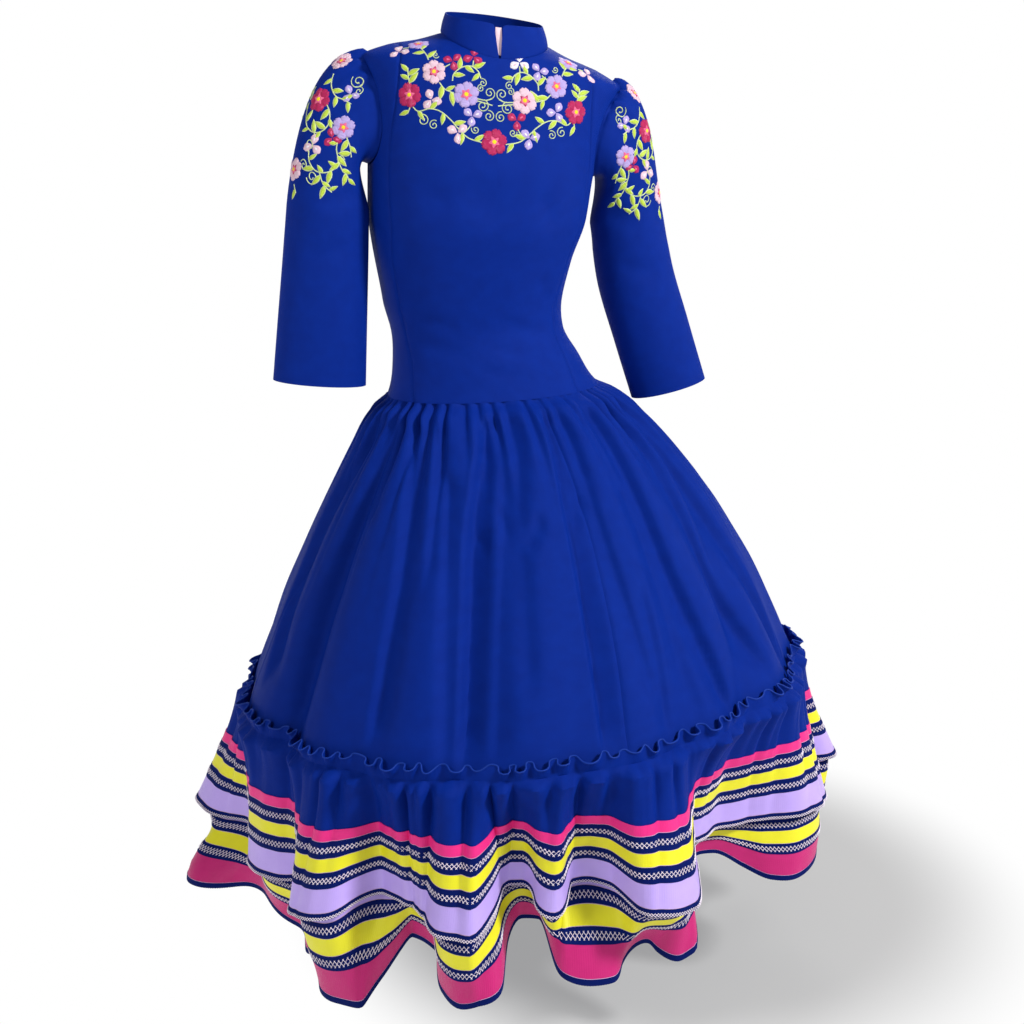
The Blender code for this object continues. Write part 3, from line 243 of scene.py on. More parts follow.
LOWER_FOLDS = (
    (-170.0, 0.04, 0.335),
    (-158.0, -0.05, 0.3),
    (-146.0, 0.042, 0.335),
    (-135.0, -0.05, 0.3),
    (-124.0, 0.04, 0.335),
    (-112.0, -0.045, 0.3),
    (-101.0, 0.03, 0.32),
    (-93.0, 0.01, 0.31),
    (-83.0, 0.115, 0.304),
    (-76.0, 0.04, 0.295),
    (-68.0, -0.01, 0.29),
    (-57.0, -0.01, 0.313),
    (-49.0, 0.0, 0.328),
    (-45.0, -0.015, 0.325),
    (-40.0, 0.02, 0.348),
    (-35.5, 0.032, 0.36),
    (-29.5, 0.03, 0.357),
    (-27.0, -0.005, 0.325),
    (-24.5, -0.055, 0.275),
    (-20.0, -0.045, 0.285),
    (-17.0, -0.035, 0.292),
    (-13.3, 0.01, 0.324),
    (-10.3, 0.035, 0.337),
    (-7.0, 0.035, 0.329),
    (-4.0, 0.01, 0.311),
    (-2.5, -0.04, 0.276),
    (0.0, -0.072, 0.25),
    (3.0, -0.068, 0.253),
    (6.0, -0.03, 0.285),
    (9.2, 0.0, 0.314),
    (13.0, 0.015, 0.326),
    (16.0, 0.012, 0.328),
    (20.0, -0.012, 0.316),
    (25.0, -0.032, 0.308),
    (29.5, -0.026, 0.327),
    (33.0, 0.005, 0.344),
    (36.0, 0.005, 0.338),
    (39.0, -0.05, 0.27),
    (46.0, -0.072, 0.245),
    (52.0, -0.062, 0.25),
    (57.0, -0.035, 0.278),
    (61.0, 0.002, 0.298),
    (66.0, 0.032, 0.303),
    (75.0, 0.056, 0.295),
    (84.0, 0.01, 0.3),
    (95.0, 0.06, 0.315),
    (104.0, -0.04, 0.3),
    (115.0, 0.04, 0.335),
    (126.0, -0.05, 0.3),
    (138.0, 0.042, 0.335),
    (149.0, -0.05, 0.3),
    (161.0, 0.04, 0.335),
    (176.0, -0.05, 0.3),
)
UPPER_LENGTH = 0.225
LOWER_LENGTH = 0.33
LOWER_TOP_TUCK = 0.0012
LOWER_TUCK = 0.014
LOWER_TUCKED_BY = 0.05
LOWER_FREE_FROM = 0.2

HEADING_HEIGHT = 0.02
HEADING_STAND = 0.003
HEADING_WAVES = 86
HEADING_WAVE_DEPTH = 0.007

# Ribbons: each runs between two distances down its flounce
EDGE_WIDTH = 0.0014
RIBBON_COLUMNS = ("name", "flounce", "top", "bottom", "finish", "edges")
RIBBON_ROWS = (
    ("ribbon_upper_pink", "upper", 0.089, 0.107, "pink_satin", (0, 1)),
    ("ribbon_upper_yellow", "upper", 0.131, 0.154, "yellow_satin", (1, 1)),
    ("ribbon_upper_lilac", "upper", 0.177, 0.215, "lilac_satin", (0, 1)),
    ("ribbon_lower_lilac", "lower", 0.216, 0.232, "lilac_satin", (0, 1)),
    ("ribbon_lower_yellow", "lower", 0.249, 0.271, "yellow_satin", (1, 1)),
    ("ribbon_lower_magenta", "lower", 0.286, 0.322, "magenta_satin", (0, 1)),
)

# How fine the cloth is worked
BODICE_STEPS = 7
SLEEVE_CAP_RINGS = 28
SLEEVE_ARM_RINGS = 34
SKIRT_COLUMNS = 720
SKIRT_RINGS = 52
UPPER_COLUMNS = 1152
LOWER_COLUMNS = 864
RIBBON_COLUMNS_ROUND = 900
STRIP_ROWS = 3


# Tables and curves

def table(columns, rows):
    """The columns of a table, by name, as arrays."""
    return {name: np.array([row[i] for row in rows]) for i, name in enumerate(columns)}


def named_rows(columns, rows):
    """The rows of a table, each with its columns' names."""
    return [dict(zip(columns, row)) for row in rows]


def cubic_weights(t):
    """The weights of a cubic's start, slope at the start, end and slope at the end."""
    return 2 * t**3 - 3 * t**2 + 1, t**3 - 2 * t**2 + t, 3 * t**2 - 2 * t**3, t**3 - t**2


def smooth_line(stations, values):
    """A monotone cubic line through a table's column, as a function of the station."""
    order = np.argsort(stations)
    x = np.asarray(stations, float)[order]
    y = np.asarray(values, float)[order]
    step = np.diff(x)
    rise = np.diff(y) / step
    slope = np.zeros_like(y)
    slope[0], slope[-1] = rise[0], rise[-1]
    before = 2 * step[1:] + step[:-1]
    after = step[1:] + 2 * step[:-1]
    same_way = rise[:-1] * rise[1:] > 0
    safe = np.where(same_way, before / np.where(rise[:-1] == 0, 1, rise[:-1])
                    + after / np.where(rise[1:] == 0, 1, rise[1:]), 1)
    slope[1:-1] = np.where(same_way, (before + after) / safe, 0)

    def line(at):
        at = np.clip(at, x[0], x[-1])
        k = np.clip(np.searchsorted(x, at, side="right") - 1, 0, len(x) - 2)
        t = (at - x[k]) / step[k]
        start, leave, end, arrive = cubic_weights(t)
        return (start * y[k] + leave * step[k] * slope[k]) + (end * y[k + 1] + arrive * step[k] * slope[k + 1])

    return line


def smooth_lines(columns, rows):
    """Each column of a table as a smooth function of its first column."""
    data = table(columns, rows)
    return {name: smooth_line(data[columns[0]], data[name]) for name in columns[1:]}


def ease(t):
    """0 to 1 with level ends."""
    t = np.clip(t, 0, 1)
    return t * t * (3 - 2 * t)


def around(azimuth):
    """An azimuth in degrees brought between -180 and 180."""
    return (np.asarray(azimuth, float) + 180) % 360 - 180


def all_round(count):
    """Azimuths at equal steps all the way round, from the back."""
    return -180 + 360 * np.arange(count) / count


def outward(angle):
    """The level direction straight out at an angle from the front."""
    return np.stack([np.sin(angle), -np.cos(angle), 0 * angle], axis=-1)


def wavering(start, angle, waves):
    """A value that wavers round the dress. Each wave has its count round, its strength and its own start."""
    return sum((strength * np.sin(count * angle + shift) for count, strength, shift in waves), start)


def scattered(number, shift):
    """A share from 0 to 1 that looks like chance, and is the same each time for the same number."""
    return 0.5 + 0.5 * np.sin(12.9 * number + shift)


def lengths_along(points):
    """How far along a line of points each of them lies."""
    return np.r_[0, np.cumsum(np.linalg.norm(np.diff(points, axis=0), axis=1))]


def unit(vectors):
    """Vectors brought to length one."""
    return vectors / np.linalg.norm(vectors, axis=-1, keepdims=True)


BODY = smooth_lines(BODY_COLUMNS, BODY_ROWS)
PRINCESS = smooth_lines(PRINCESS_COLUMNS, PRINCESS_ROWS)
GATHER = smooth_lines(GATHER_COLUMNS, GATHER_ROWS)


# The body's skin, as in the solids

def section_point(angle, level):
    """A point of the skin before the stance. The angle runs from the front centre to the back centre."""
    power = 2 / BODY["squareness"](level)
    cos = np.cos(angle)
    depth = np.where(cos > 0, BODY["front"](level), BODY["back"](level))
    x = BODY["half_width"](level) * np.abs(np.sin(angle))**power
    y = -np.sign(cos) * depth * np.abs(cos)**power
    return np.stack([x, y, level + 0 * x], axis=-1)


def section_normal(angle, level):
    """The skin's outward normal at the same point."""
    delta = 0.0005
    level = np.minimum(level, NECK_SIDE - delta)
    square = BODY["squareness"](level)
    cos = np.cos(angle)
    front = cos > 0
    half = BODY["half_width"](level)
    depth = np.where(front, BODY["front"](level), BODY["back"](level))
    half_slope, front_slope, back_slope = (
        (BODY[measure](level + delta) - BODY[measure](level - delta)) / (2 * delta)
        for measure in ("half_width", "front", "back"))
    depth_slope = np.where(front, front_slope, back_slope)
    across = np.abs(np.sin(angle))**(2 / square)
    along = np.abs(cos)**(2 / square)
    x = across**(square - 1) / half
    y = -np.sign(cos) * along**(square - 1) / depth
    z = -(across**square * half_slope / half + along**square * depth_slope / depth)
    return unit(np.stack([x, y, z], axis=-1))


def stance(points):
    """Points of the straight body, moved into the way it stands: shifted, turned and tilted by level."""
    level = points[..., 2]
    yaw = np.radians(BODY["yaw"](level))
    x = points[..., 0] * np.cos(yaw) - points[..., 1] * np.sin(yaw)
    y = points[..., 0] * np.sin(yaw) + points[..., 1] * np.cos(yaw)
    z = level + x * np.tan(np.radians(BODY["roll"](level)))
    return np.stack([x + BODY["shift"](level), y, z], axis=-1)


def angle_at(out, level):
    """The angle at which the front or back skin lies this far from the middle."""
    ratio = np.clip(out / BODY["half_width"](level), 0, 1)
    return np.arcsin(ratio**(BODY["squareness"](level) / 2))


def shoulder_level(out):
    """The level of the shoulder line at this distance from the middle."""
    levels = np.linspace(SHOULDER_TIP, NECK_SIDE, 400)
    return np.interp(-out, -BODY["half_width"](levels), levels)


def spaced(angle, level, count):
    """Points of a line on the skin, respaced to equal steps along it, as angles and levels."""
    length = lengths_along(section_point(angle, level))
    at = np.linspace(0, length[-1], count + 1)
    return np.interp(at, length, angle), np.interp(at, length, level)


def joined(low, high):
    """Two lines on the skin, one after the other."""
    return np.r_[low[0], high[0][1:]], np.r_[low[1], high[1][1:]]


LOW_ROWS = 5 * BODICE_STEPS
CHEST_ROWS = 4 * BODICE_STEPS
NECK_ROWS = 5 * BODICE_STEPS
HIGH_ROWS = CHEST_ROWS + NECK_ROWS


def centre_line(angle, neck_level):
    """The front or back centre of the bodice, up to the neckline."""
    low = np.linspace(WAIST_SEAM, BUST_LINE, LOW_ROWS + 1)
    level = np.r_[low, np.linspace(BUST_LINE, neck_level, CHEST_ROWS + 1)[1:]]
    return np.full(len(level), angle), level


def centre_edge(neck_level, back=False):
    """Up the front or back centre and on round the neckline to its side."""
    turn = np.linspace(0, np.pi / 2, 400)
    level = NECK_SIDE + (neck_level - NECK_SIDE) * np.cos(turn)**NECK_CURVE
    angle = angle_at(NECK_RADIUS * np.sin(turn), level)
    neck = spaced(np.pi - angle if back else angle, level, NECK_ROWS)
    return joined(centre_line(np.pi if back else 0.0, neck_level), neck)


def princess_edge():
    """The seam from the waist over the bust to the middle of the shoulder."""
    top = shoulder_level(SHOULDER_SPLIT)
    low_levels = np.linspace(WAIST_SEAM, PRINCESS_YOKE, LOW_ROWS + 1)
    low = angle_at(PRINCESS["out"](low_levels), low_levels), low_levels
    climb = 1 - (1 - np.linspace(0, 1, 800))**2
    level = PRINCESS_YOKE + (top - PRINCESS_YOKE) * climb
    blend = ease((level - PRINCESS_YOKE) / (top - PRINCESS_YOKE))
    out = PRINCESS["out"](level) * (1 - blend) + SHOULDER_SPLIT * blend
    angle = angle_at(out, level)
    angle[-1] = np.pi / 2
    return joined(low, spaced(angle, level, HIGH_ROWS))


def side_edge(column):
    """Up the side to the armpit and on round one half of the armhole."""
    low = np.full(LOW_ROWS + 1, np.pi / 2), np.linspace(WAIST_SEAM, ARMPIT, LOW_ROWS + 1)
    data = table(ARMHOLE_COLUMNS, ARMHOLE_ROWS)
    rows = np.arange(len(data["level"]))
    at = np.linspace(0, rows[-1], 800)
    level = smooth_line(rows, data["level"])(at)
    angle = np.radians(smooth_line(rows, data[column])(at))
    return joined(low, spaced(angle, level, HIGH_ROWS))


# Meshes

def grid_normals(grid, closed):
    """Unit normals of a grid of points, with rows down and columns round, pointing away from its middle."""
    down = np.gradient(grid, axis=0)
    across = np.roll(grid, -1, axis=1) - np.roll(grid, 1, axis=1) if closed else np.gradient(grid, axis=1)
    normals = unit(np.cross(down, across))
    middle = grid.mean(axis=(0, 1)) * np.array([1, 1, 0]) + grid * np.array([0, 0, 1])
    return normals if np.sum(normals * (grid - middle)) > 0 else -normals


def flat_lengths(grid, closed):
    """Each point's distance along its row and down its column, in metres, as the cloth lies flat."""
    wrapped = np.concatenate([grid, grid[:, :1]], axis=1) if closed else grid
    across = np.linalg.norm(np.diff(wrapped, axis=1), axis=-1).mean(axis=0)
    down = np.linalg.norm(np.diff(grid, axis=0), axis=-1).mean(axis=1)
    across, down = np.r_[0, np.cumsum(across)], np.r_[0, np.cumsum(down)]
    return np.stack(np.broadcast_arrays(across[None, :], down[:, None]), axis=-1)


def cell_corners(index, closed=False):
    """The four corners of every cell of a grid of point numbers."""
    after = np.roll(index, -1, axis=1) if closed else index[:, 1:]
    here = index if closed else index[:, :-1]
    corners = np.stack([here[:-1], after[:-1], after[1:], here[1:]], axis=-1)
    return corners.reshape(-1, 4)


def shell(name, outer, inner, quads, flat, flats, finish, sharp=50):
    """A closed thin cloth between two matching sets of points, with a rim along every open edge."""
    used, quads = np.unique(quads, return_inverse=True)
    quads = quads.reshape(-1, 4)
    outer, inner = outer[used], inner[used]
    count = len(outer)
    starts, ends = quads.ravel(), np.roll(quads, -1, axis=1).ravel()
    flat_starts, flat_ends = flats.ravel(), np.roll(flats, -1, axis=1).ravel()
    rim = ~np.isin(ends * count + starts, starts * count + ends)
    a, b = starts[rim], ends[rim]
    faces = np.concatenate([quads, quads[:, ::-1] + count, np.stack([b, a, a + count, b + count], axis=-1)])
    rim_flats = np.stack([flat_ends[rim], flat_starts[rim], flat_starts[rim], flat_ends[rim]], axis=-1)
    face_flats = np.concatenate([flats, flats[:, ::-1], rim_flats])
    first, second, third = (outer[quads[:, k]] for k in (0, 1, 2))
    way = np.sum(np.cross(second - first, third - first) * (outer - inner)[quads[:, 0]])
    if way < 0:
        faces, face_flats = faces[:, ::-1], face_flats[:, ::-1]
    return make_mesh(name, np.concatenate([outer, inner]), faces, flat[face_flats.reshape(-1)], finish, sharp)


def cloth_shell(name, outer, inner, closed, finish, sharp=50):
    """A closed thin cloth between two grids of points, with rows down it and columns round it."""
    flat = flat_lengths(outer, closed)
    quads = cell_corners(np.arange(outer.shape[0] * outer.shape[1]).reshape(outer.shape[:2]), closed)
    flats = cell_corners(np.arange(flat.shape[0] * flat.shape[1]).reshape(flat.shape[:2]))
    return shell(name, outer.reshape(-1, 3), inner.reshape(-1, 3), quads, flat.reshape(-1, 2), flats, finish, sharp)


def make_mesh(name, points, faces, uv, finish, sharp=50):
    """A mesh object of four-sided faces, with its cloth's flat lengths as its UV map."""
    mesh = bpy.data.meshes.new(name)
    mesh.vertices.add(len(points))
    mesh.vertices.foreach_set("co", np.ascontiguousarray(points, dtype=np.float32).ravel())
    mesh.loops.add(faces.size)
    mesh.loops.foreach_set("vertex_index", np.ascontiguousarray(faces, dtype=np.int32).ravel())
    mesh.polygons.add(len(faces))
    mesh.polygons.foreach_set("loop_start", np.arange(0, faces.size, faces.shape[1], dtype=np.int32))
    mesh.update(calc_edges=True)
    if uv is not None:
        layer = mesh.uv_layers.new(name="flat")
        layer.data.foreach_set("uv", np.ascontiguousarray(uv, dtype=np.float32).ravel())
    mesh.validate()
    return put_on_dress(name, mesh, finish, sharp)


def faced_mesh(name, points, faces, finish):
    """A mesh of many small closed pieces. A face that repeats its last corner is a triangle."""
    mesh = bpy.data.meshes.new(name)
    corners = [face[:3] if face[2] == face[3] else face for face in faces.tolist()]
    mesh.from_pydata(points.tolist(), [], corners)
    return put_on_dress(name, mesh, finish)


def put_on_dress(name, mesh, finish, sharp=50):
    """Makes a mesh a piece of the dress: smooth but for its sharp edges, and in its finish."""
    mesh.polygons.foreach_set("use_smooth", np.ones(len(mesh.polygons), dtype=bool))
    mesh.set_sharp_from_angle(angle=math.radians(sharp))
    mesh.materials.append(FINISHES[finish])
    piece = bpy.data.objects.new(name, mesh)
    bpy.context.scene.collection.objects.link(piece)
    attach(piece, "root")
    return piece


# Finishes

def new_group(name, inputs, outputs):
    """A shader node group with named inputs and outputs."""
    group = bpy.data.node_groups.new(name, "ShaderNodeTree")
    for label, kind, value in inputs:
        socket = group.interface.new_socket(name=label, in_out="INPUT", socket_type=kind)
        if value is not None:
            socket.default_value = value
    for label, kind in outputs:
        group.interface.new_socket(name=label, in_out="OUTPUT", socket_type=kind)
    entry, leave = group.nodes.new("NodeGroupInput"), group.nodes.new("NodeGroupOutput")
    return group, entry, leave


def math_node(tree, operation, a, b=None):
    """One arithmetic step. Each side is a number or another node's output."""
    node = tree.nodes.new("ShaderNodeMath")
    node.operation = operation
    for socket, value in zip(node.inputs, (a, b)):
        if value is None:
            continue
        if isinstance(value, (int, float)):
            socket.default_value = value
        else:
            tree.links.new(value, socket)
    return node.outputs[0]


def set_inputs(node, values):
    """Sets some of a node's inputs by name."""
    for label, value in values.items():
        node.inputs[label].default_value = value


def flat_place(tree):
    """A place on the flat cloth in metres, as a vector, and its sockets X along the cloth and Y down it."""
    uv = tree.nodes.new("ShaderNodeUVMap")
    uv.uv_map = "flat"
    split = tree.nodes.new("ShaderNodeSeparateXYZ")
    tree.links.new(uv.outputs[0], split.inputs[0])
    return uv.outputs[0], split.outputs


# A mix node's sockets for colours: the two that go in, and the one that comes out
MIX_COLOURS_IN = slice(6, 8)
MIX_COLOUR_OUT = 2


def mix_colours(tree, share, first, second):
    """Two colours mixed by a share that changes over the surface. Each is plain or another node's output."""
    mix = tree.nodes.new("ShaderNodeMix")
    mix.data_type = "RGBA"
    tree.links.new(share, mix.inputs[0])
    for socket, colour in zip(mix.inputs[MIX_COLOURS_IN], (first, second)):
        if isinstance(colour, tuple):
            socket.default_value = (*colour, 1)
        else:
            tree.links.new(colour, socket)
    return mix.outputs[MIX_COLOUR_OUT]


def weave_group():
    """Crossing threads, as a height, with slow unevenness as a mask. Lengths are in metres of flat cloth."""
    group, entry, leave = new_group(
        "woven_threads",
        [("Threads per metre", "NodeSocketFloat", 1400.0), ("Across share", "NodeSocketFloat", 1.0)],
        [("Height", "NodeSocketFloat"), ("Unevenness", "NodeSocketFloat")])
    place, flat = flat_place(group)
    turn = math_node(group, "MULTIPLY", entry.outputs["Threads per metre"], 2 * math.pi)
    warp = math_node(group, "SINE", math_node(group, "MULTIPLY", flat["X"], turn))
    weft_turn = math_node(group, "MULTIPLY", turn, entry.outputs["Across share"])
    weft = math_node(group, "SINE", math_node(group, "MULTIPLY", flat["Y"], weft_turn))
    group.links.new(math_node(group, "ADD", warp, weft), leave.inputs["Height"])
    noise = group.nodes.new("ShaderNodeTexNoise")
    set_inputs(noise, {"Scale": 45, "Detail": 4})
    group.links.new(place, noise.inputs["Vector"])
    group.links.new(noise.outputs["Fac"], leave.inputs["Unevenness"])
    return group


def cloth_finish(name, dark, light, roughness, threads, across_share, bump, sheen, sheen_tint, specular=0.3):
    """Woven cloth: two near colours mixed by the weave's unevenness, a fine bump and a soft sheen."""
    finish = bpy.data.materials.new(name)
    finish.use_nodes = True
    tree = finish.node_tree
    shader = tree.nodes["Principled BSDF"]
    weave = tree.nodes.new("ShaderNodeGroup")
    weave.node_tree = WEAVE
    set_inputs(weave, {"Threads per metre": threads, "Across share": across_share})
    tree.links.new(mix_colours(tree, weave.outputs["Unevenness"], dark, light), shader.inputs["Base Color"])
    relief = tree.nodes.new("ShaderNodeBump")
    set_inputs(relief, {"Strength": bump, "Distance": 0.0002})
    tree.links.new(weave.outputs["Height"], relief.inputs["Height"])
    tree.links.new(relief.outputs["Normal"], shader.inputs["Normal"])
    set_inputs(shader, {"Roughness": roughness, "Specular IOR Level": specular, "Sheen Weight": sheen,
                        "Sheen Roughness": 0.4, "Sheen Tint": (*sheen_tint, 1)})
    finish.diffuse_color = (*light, 1)
    return finish


def edge_group():
    """The pale woven edges of a ribbon, as a mask. Lengths are in metres of flat cloth."""
    group, entry, leave = new_group(
        "woven_edges",
        [("Ribbon width", "NodeSocketFloat", 0.02), ("Top edge", "NodeSocketFloat", 0.0),
         ("Bottom edge", "NodeSocketFloat", 0.0)],
        [("Edge", "NodeSocketFloat")])
    _, flat = flat_place(group)
    top = math_node(group, "LESS_THAN", flat["Y"], entry.outputs["Top edge"])
    start = math_node(group, "SUBTRACT", entry.outputs["Ribbon width"], entry.outputs["Bottom edge"])
    bottom = math_node(group, "GREATER_THAN", flat["Y"], start)
    group.links.new(math_node(group, "MAXIMUM", top, bottom), leave.inputs["Edge"])
    return group


def ribbon_finish(name, satin, width, edges):
    """A satin ribbon's colours, with a pale woven edge at its top or bottom or both."""
    finish = FINISHES[satin].copy()
    finish.name = name
    tree = finish.node_tree
    shader = tree.nodes["Principled BSDF"]
    satin_colour = shader.inputs["Base Color"].links[0].from_socket
    mask = tree.nodes.new("ShaderNodeGroup")
    mask.node_tree = WOVEN_EDGES
    set_inputs(mask, {"Ribbon width": width, "Top edge": EDGE_WIDTH * edges[0],
                      "Bottom edge": EDGE_WIDTH * edges[1]})
    tree.links.new(mix_colours(tree, mask.outputs["Edge"], satin_colour, EDGE_COLOUR), shader.inputs["Base Color"])
    return finish


def thread_finish(name, dark, light):
    """Satin stitches: fine threads side by side, with a silky sheen."""
    return cloth_finish(name, dark, light, 0.42, 2400, 0.1, 0.6, 0.2, light, 0.35)


WEAVE = weave_group()
WOVEN_EDGES = edge_group()
EDGE_COLOUR = (0.66, 0.42, 0.66)
# Each finish: its two colours, roughness, threads a metre, their share the other way, bump, sheen, its tint, specular
FINISHES = {
    "royal_blue": cloth_finish("royal_blue_cloth", (0.0005, 0.0145, 0.19), (0.0009, 0.022, 0.252), 0.6,
                               1500, 1.0, 0.35, 0.12, (0.02, 0.12, 1.0), 0.06),
    "navy_tape": cloth_finish("navy_tape", (0.001, 0.007, 0.09), (0.002, 0.011, 0.13), 0.7,
                              900, 1.0, 0.5, 0.05, (0.02, 0.12, 1.0), 0.06),
    "pale_pink": cloth_finish("pale_pink_cloth", (0.78, 0.55, 0.62), (0.86, 0.66, 0.72), 0.6,
                              1500, 1.0, 0.3, 0.1, (1.0, 0.9, 0.95)),
    "pink_satin": cloth_finish("pink_satin", (0.78, 0.016, 0.21), (0.88, 0.024, 0.25), 0.42,
                               300, 5.0, 0.3, 0.08, (1.0, 0.5, 0.75), 0.3),
    "yellow_satin": cloth_finish("yellow_satin", (0.8, 0.75, 0.003), (0.88, 0.84, 0.006), 0.42,
                                 300, 5.0, 0.3, 0.1, (1.0, 1.0, 0.6), 0.5),
    "lilac_satin": cloth_finish("lilac_satin", (0.48, 0.34, 0.86), (0.56, 0.41, 0.94), 0.42,
                                300, 5.0, 0.3, 0.15, (0.9, 0.85, 1.0), 0.5),
    "magenta_satin": cloth_finish("magenta_satin", (0.52, 0.01, 0.15), (0.62, 0.016, 0.19), 0.42,
                                  300, 5.0, 0.3, 0.08, (1.0, 0.5, 0.75), 0.3),
    "pale_thread": cloth_finish("pale_thread", (0.72, 0.62, 0.74), (0.85, 0.78, 0.88), 0.5,
                                2500, 0.2, 0.4, 0.1, (1.0, 1.0, 1.0), 0.4),
    "blue_thread": cloth_finish("blue_thread", (0.003, 0.026, 0.24), (0.006, 0.04, 0.31), 0.55,
                                2500, 0.2, 0.4, 0.1, (0.1, 0.2, 1.0), 0.15),
}
# The darkest and lightest shade of each colour of the embroidery
STITCH_SHADES = {
    "magenta": ((0.38, 0.006, 0.07), (0.52, 0.014, 0.12)),
    "pink": ((0.75, 0.09, 0.23), (0.85, 0.18, 0.33)),
    "pale_pink": ((0.7, 0.43, 0.54), (0.85, 0.64, 0.74)),
    "lilac": ((0.38, 0.28, 0.62), (0.56, 0.45, 0.8)),
    "white": ((0.8, 0.74, 0.8), (0.9, 0.86, 0.9)),
    "yellow": ((0.85, 0.6, 0.002), (0.95, 0.78, 0.01)),
    "lime": ((0.42, 0.58, 0.03), (0.6, 0.74, 0.09)),
    "pale_green": ((0.56, 0.68, 0.26), (0.72, 0.82, 0.44)),
}
for stitch_colour, shades in STITCH_SHADES.items():
    FINISHES[f"{stitch_colour}_thread"] = thread_finish(f"{stitch_colour}_thread", *shades)


# Bodice

# Soft creases of the straight body: from one point to another, width, depth, and 1 where it lies on the back
CREASE_COLUMNS = ("x0", "z0", "x1", "z1", "width", "depth", "back")
CREASE_ROWS = (
    (-0.05, -0.19, 0.02, -0.26, 0.03, 0.003, 0),
    (0.02, -0.4, 0.105, -0.43, 0.009, 0.0028, 0),
    (0.0, -0.44, 0.1, -0.462, 0.008, 0.0026, 0),
    (-0.11, -0.43, -0.02, -0.455, 0.01, 0.002, 0),
    (0.07, -0.2, 0.095, -0.27, 0.014, 0.003, 0),
    (-0.03, -0.47, 0.06, -0.492, 0.008, 0.0018, 0),
    (0.01, -0.415, 0.08, -0.438, 0.008, 0.0016, 0),
    (-0.1, -0.395, -0.03, -0.412, 0.009, 0.0024, 0),
    (0.085, -0.33, 0.11, -0.385, 0.01, 0.003, 0),
    (-0.115, -0.2, -0.06, -0.235, 0.012, 0.0018, 0),
    (-0.1, -0.425, 0.02, -0.44, 0.01, 0.0016, 1),
    (-0.02, -0.455, 0.1, -0.44, 0.01, 0.0016, 1),
    (-0.06, -0.11, -0.08, -0.24, 0.018, 0.0016, 1),
    (0.06, -0.12, 0.08, -0.25, 0.018, 0.0014, 1),
)
SEAM_GROOVE = 0.0018
SEAM_GROOVE_WIDTH = 0.0024
CREASE_END_FADE = 0.3


def seam_groove(distance):
    """How deep the cloth dips at this distance from a seam."""
    return SEAM_GROOVE * np.exp(-(distance / SEAM_GROOVE_WIDTH)**2)


def near_line(x, z, row):
    """How close points are to a crease's line: 1 on it, fading across its width and at its ends."""
    dx, dz = row["x1"] - row["x0"], row["z1"] - row["z0"]
    length = math.hypot(dx, dz)
    along = ((x - row["x0"]) * dx + (z - row["z0"]) * dz) / length**2
    across = ((x - row["x0"]) * dz - (z - row["z0"]) * dx) / length
    ends = ease(along / CREASE_END_FADE) * ease((1 - along) / CREASE_END_FADE)
    return np.exp(-(across / row["width"])**2) * ends


def bodice_relief(points, side, back):
    """How far the bodice's cloth lies in or out at points of the straight body."""
    x, z = points[..., 0] * side, points[..., 2]
    relief = 0 * x
    for row in named_rows(CREASE_COLUMNS, CREASE_ROWS):
        if bool(row["back"]) == back:
            relief = relief - row["depth"] * near_line(x, z, row)
    return relief


def even_and_dense(count):
    """Shares from 0 to 1, a little closer together near both ends."""
    t = np.linspace(0, 1, count + 1)
    return 0.6 * t + 0.4 * (1 - np.cos(np.pi * t)) / 2


def step_in(points, rows, columns, inward, distance):
    """Moves an edge of a patch towards its neighbours, to leave half a seam's gap."""
    edge = points[rows, columns]
    away = points[rows + inward[0], columns + inward[1]] - edge
    points[rows, columns] = edge + distance * unit(away)


def bodice_half(first, second, columns, side, back, grooves):
    """Outer and inner points of a bodice panel, worn, between two seams that may each lie in a groove."""
    share = even_and_dense(columns)
    angle = first[0][:, None] * (1 - share) + second[0][:, None] * share
    level = first[1][:, None] * (1 - share) + second[1][:, None] * share
    points, normals = section_point(angle, level), section_normal(angle, level)
    normals[0, :, 2] = 0
    normals[0] = unit(normals[0])
    relief = bodice_relief(points, side, back)
    width = np.linalg.norm(points[:, -1] - points[:, 0], axis=-1)[:, None]
    for groove, distance in zip(grooves, (width * share, width * (1 - share))):
        relief = relief - groove * seam_groove(distance)
    every = np.arange(len(points))
    if grooves[0]:
        step_in(points, every, 0, (0, 1), SEAM_STEP_IN)
    step_in(points, every, -1, (0, -1), SEAM_STEP_IN)
    step_in(points, -1, np.arange(columns + 1), (-1, 0), SEAM_STEP_IN)
    flip = np.array([side, 1, 1])
    lift = normals * relief[..., None]
    return stance((points + CLOTH * normals + lift) * flip), stance((points + lift) * flip)


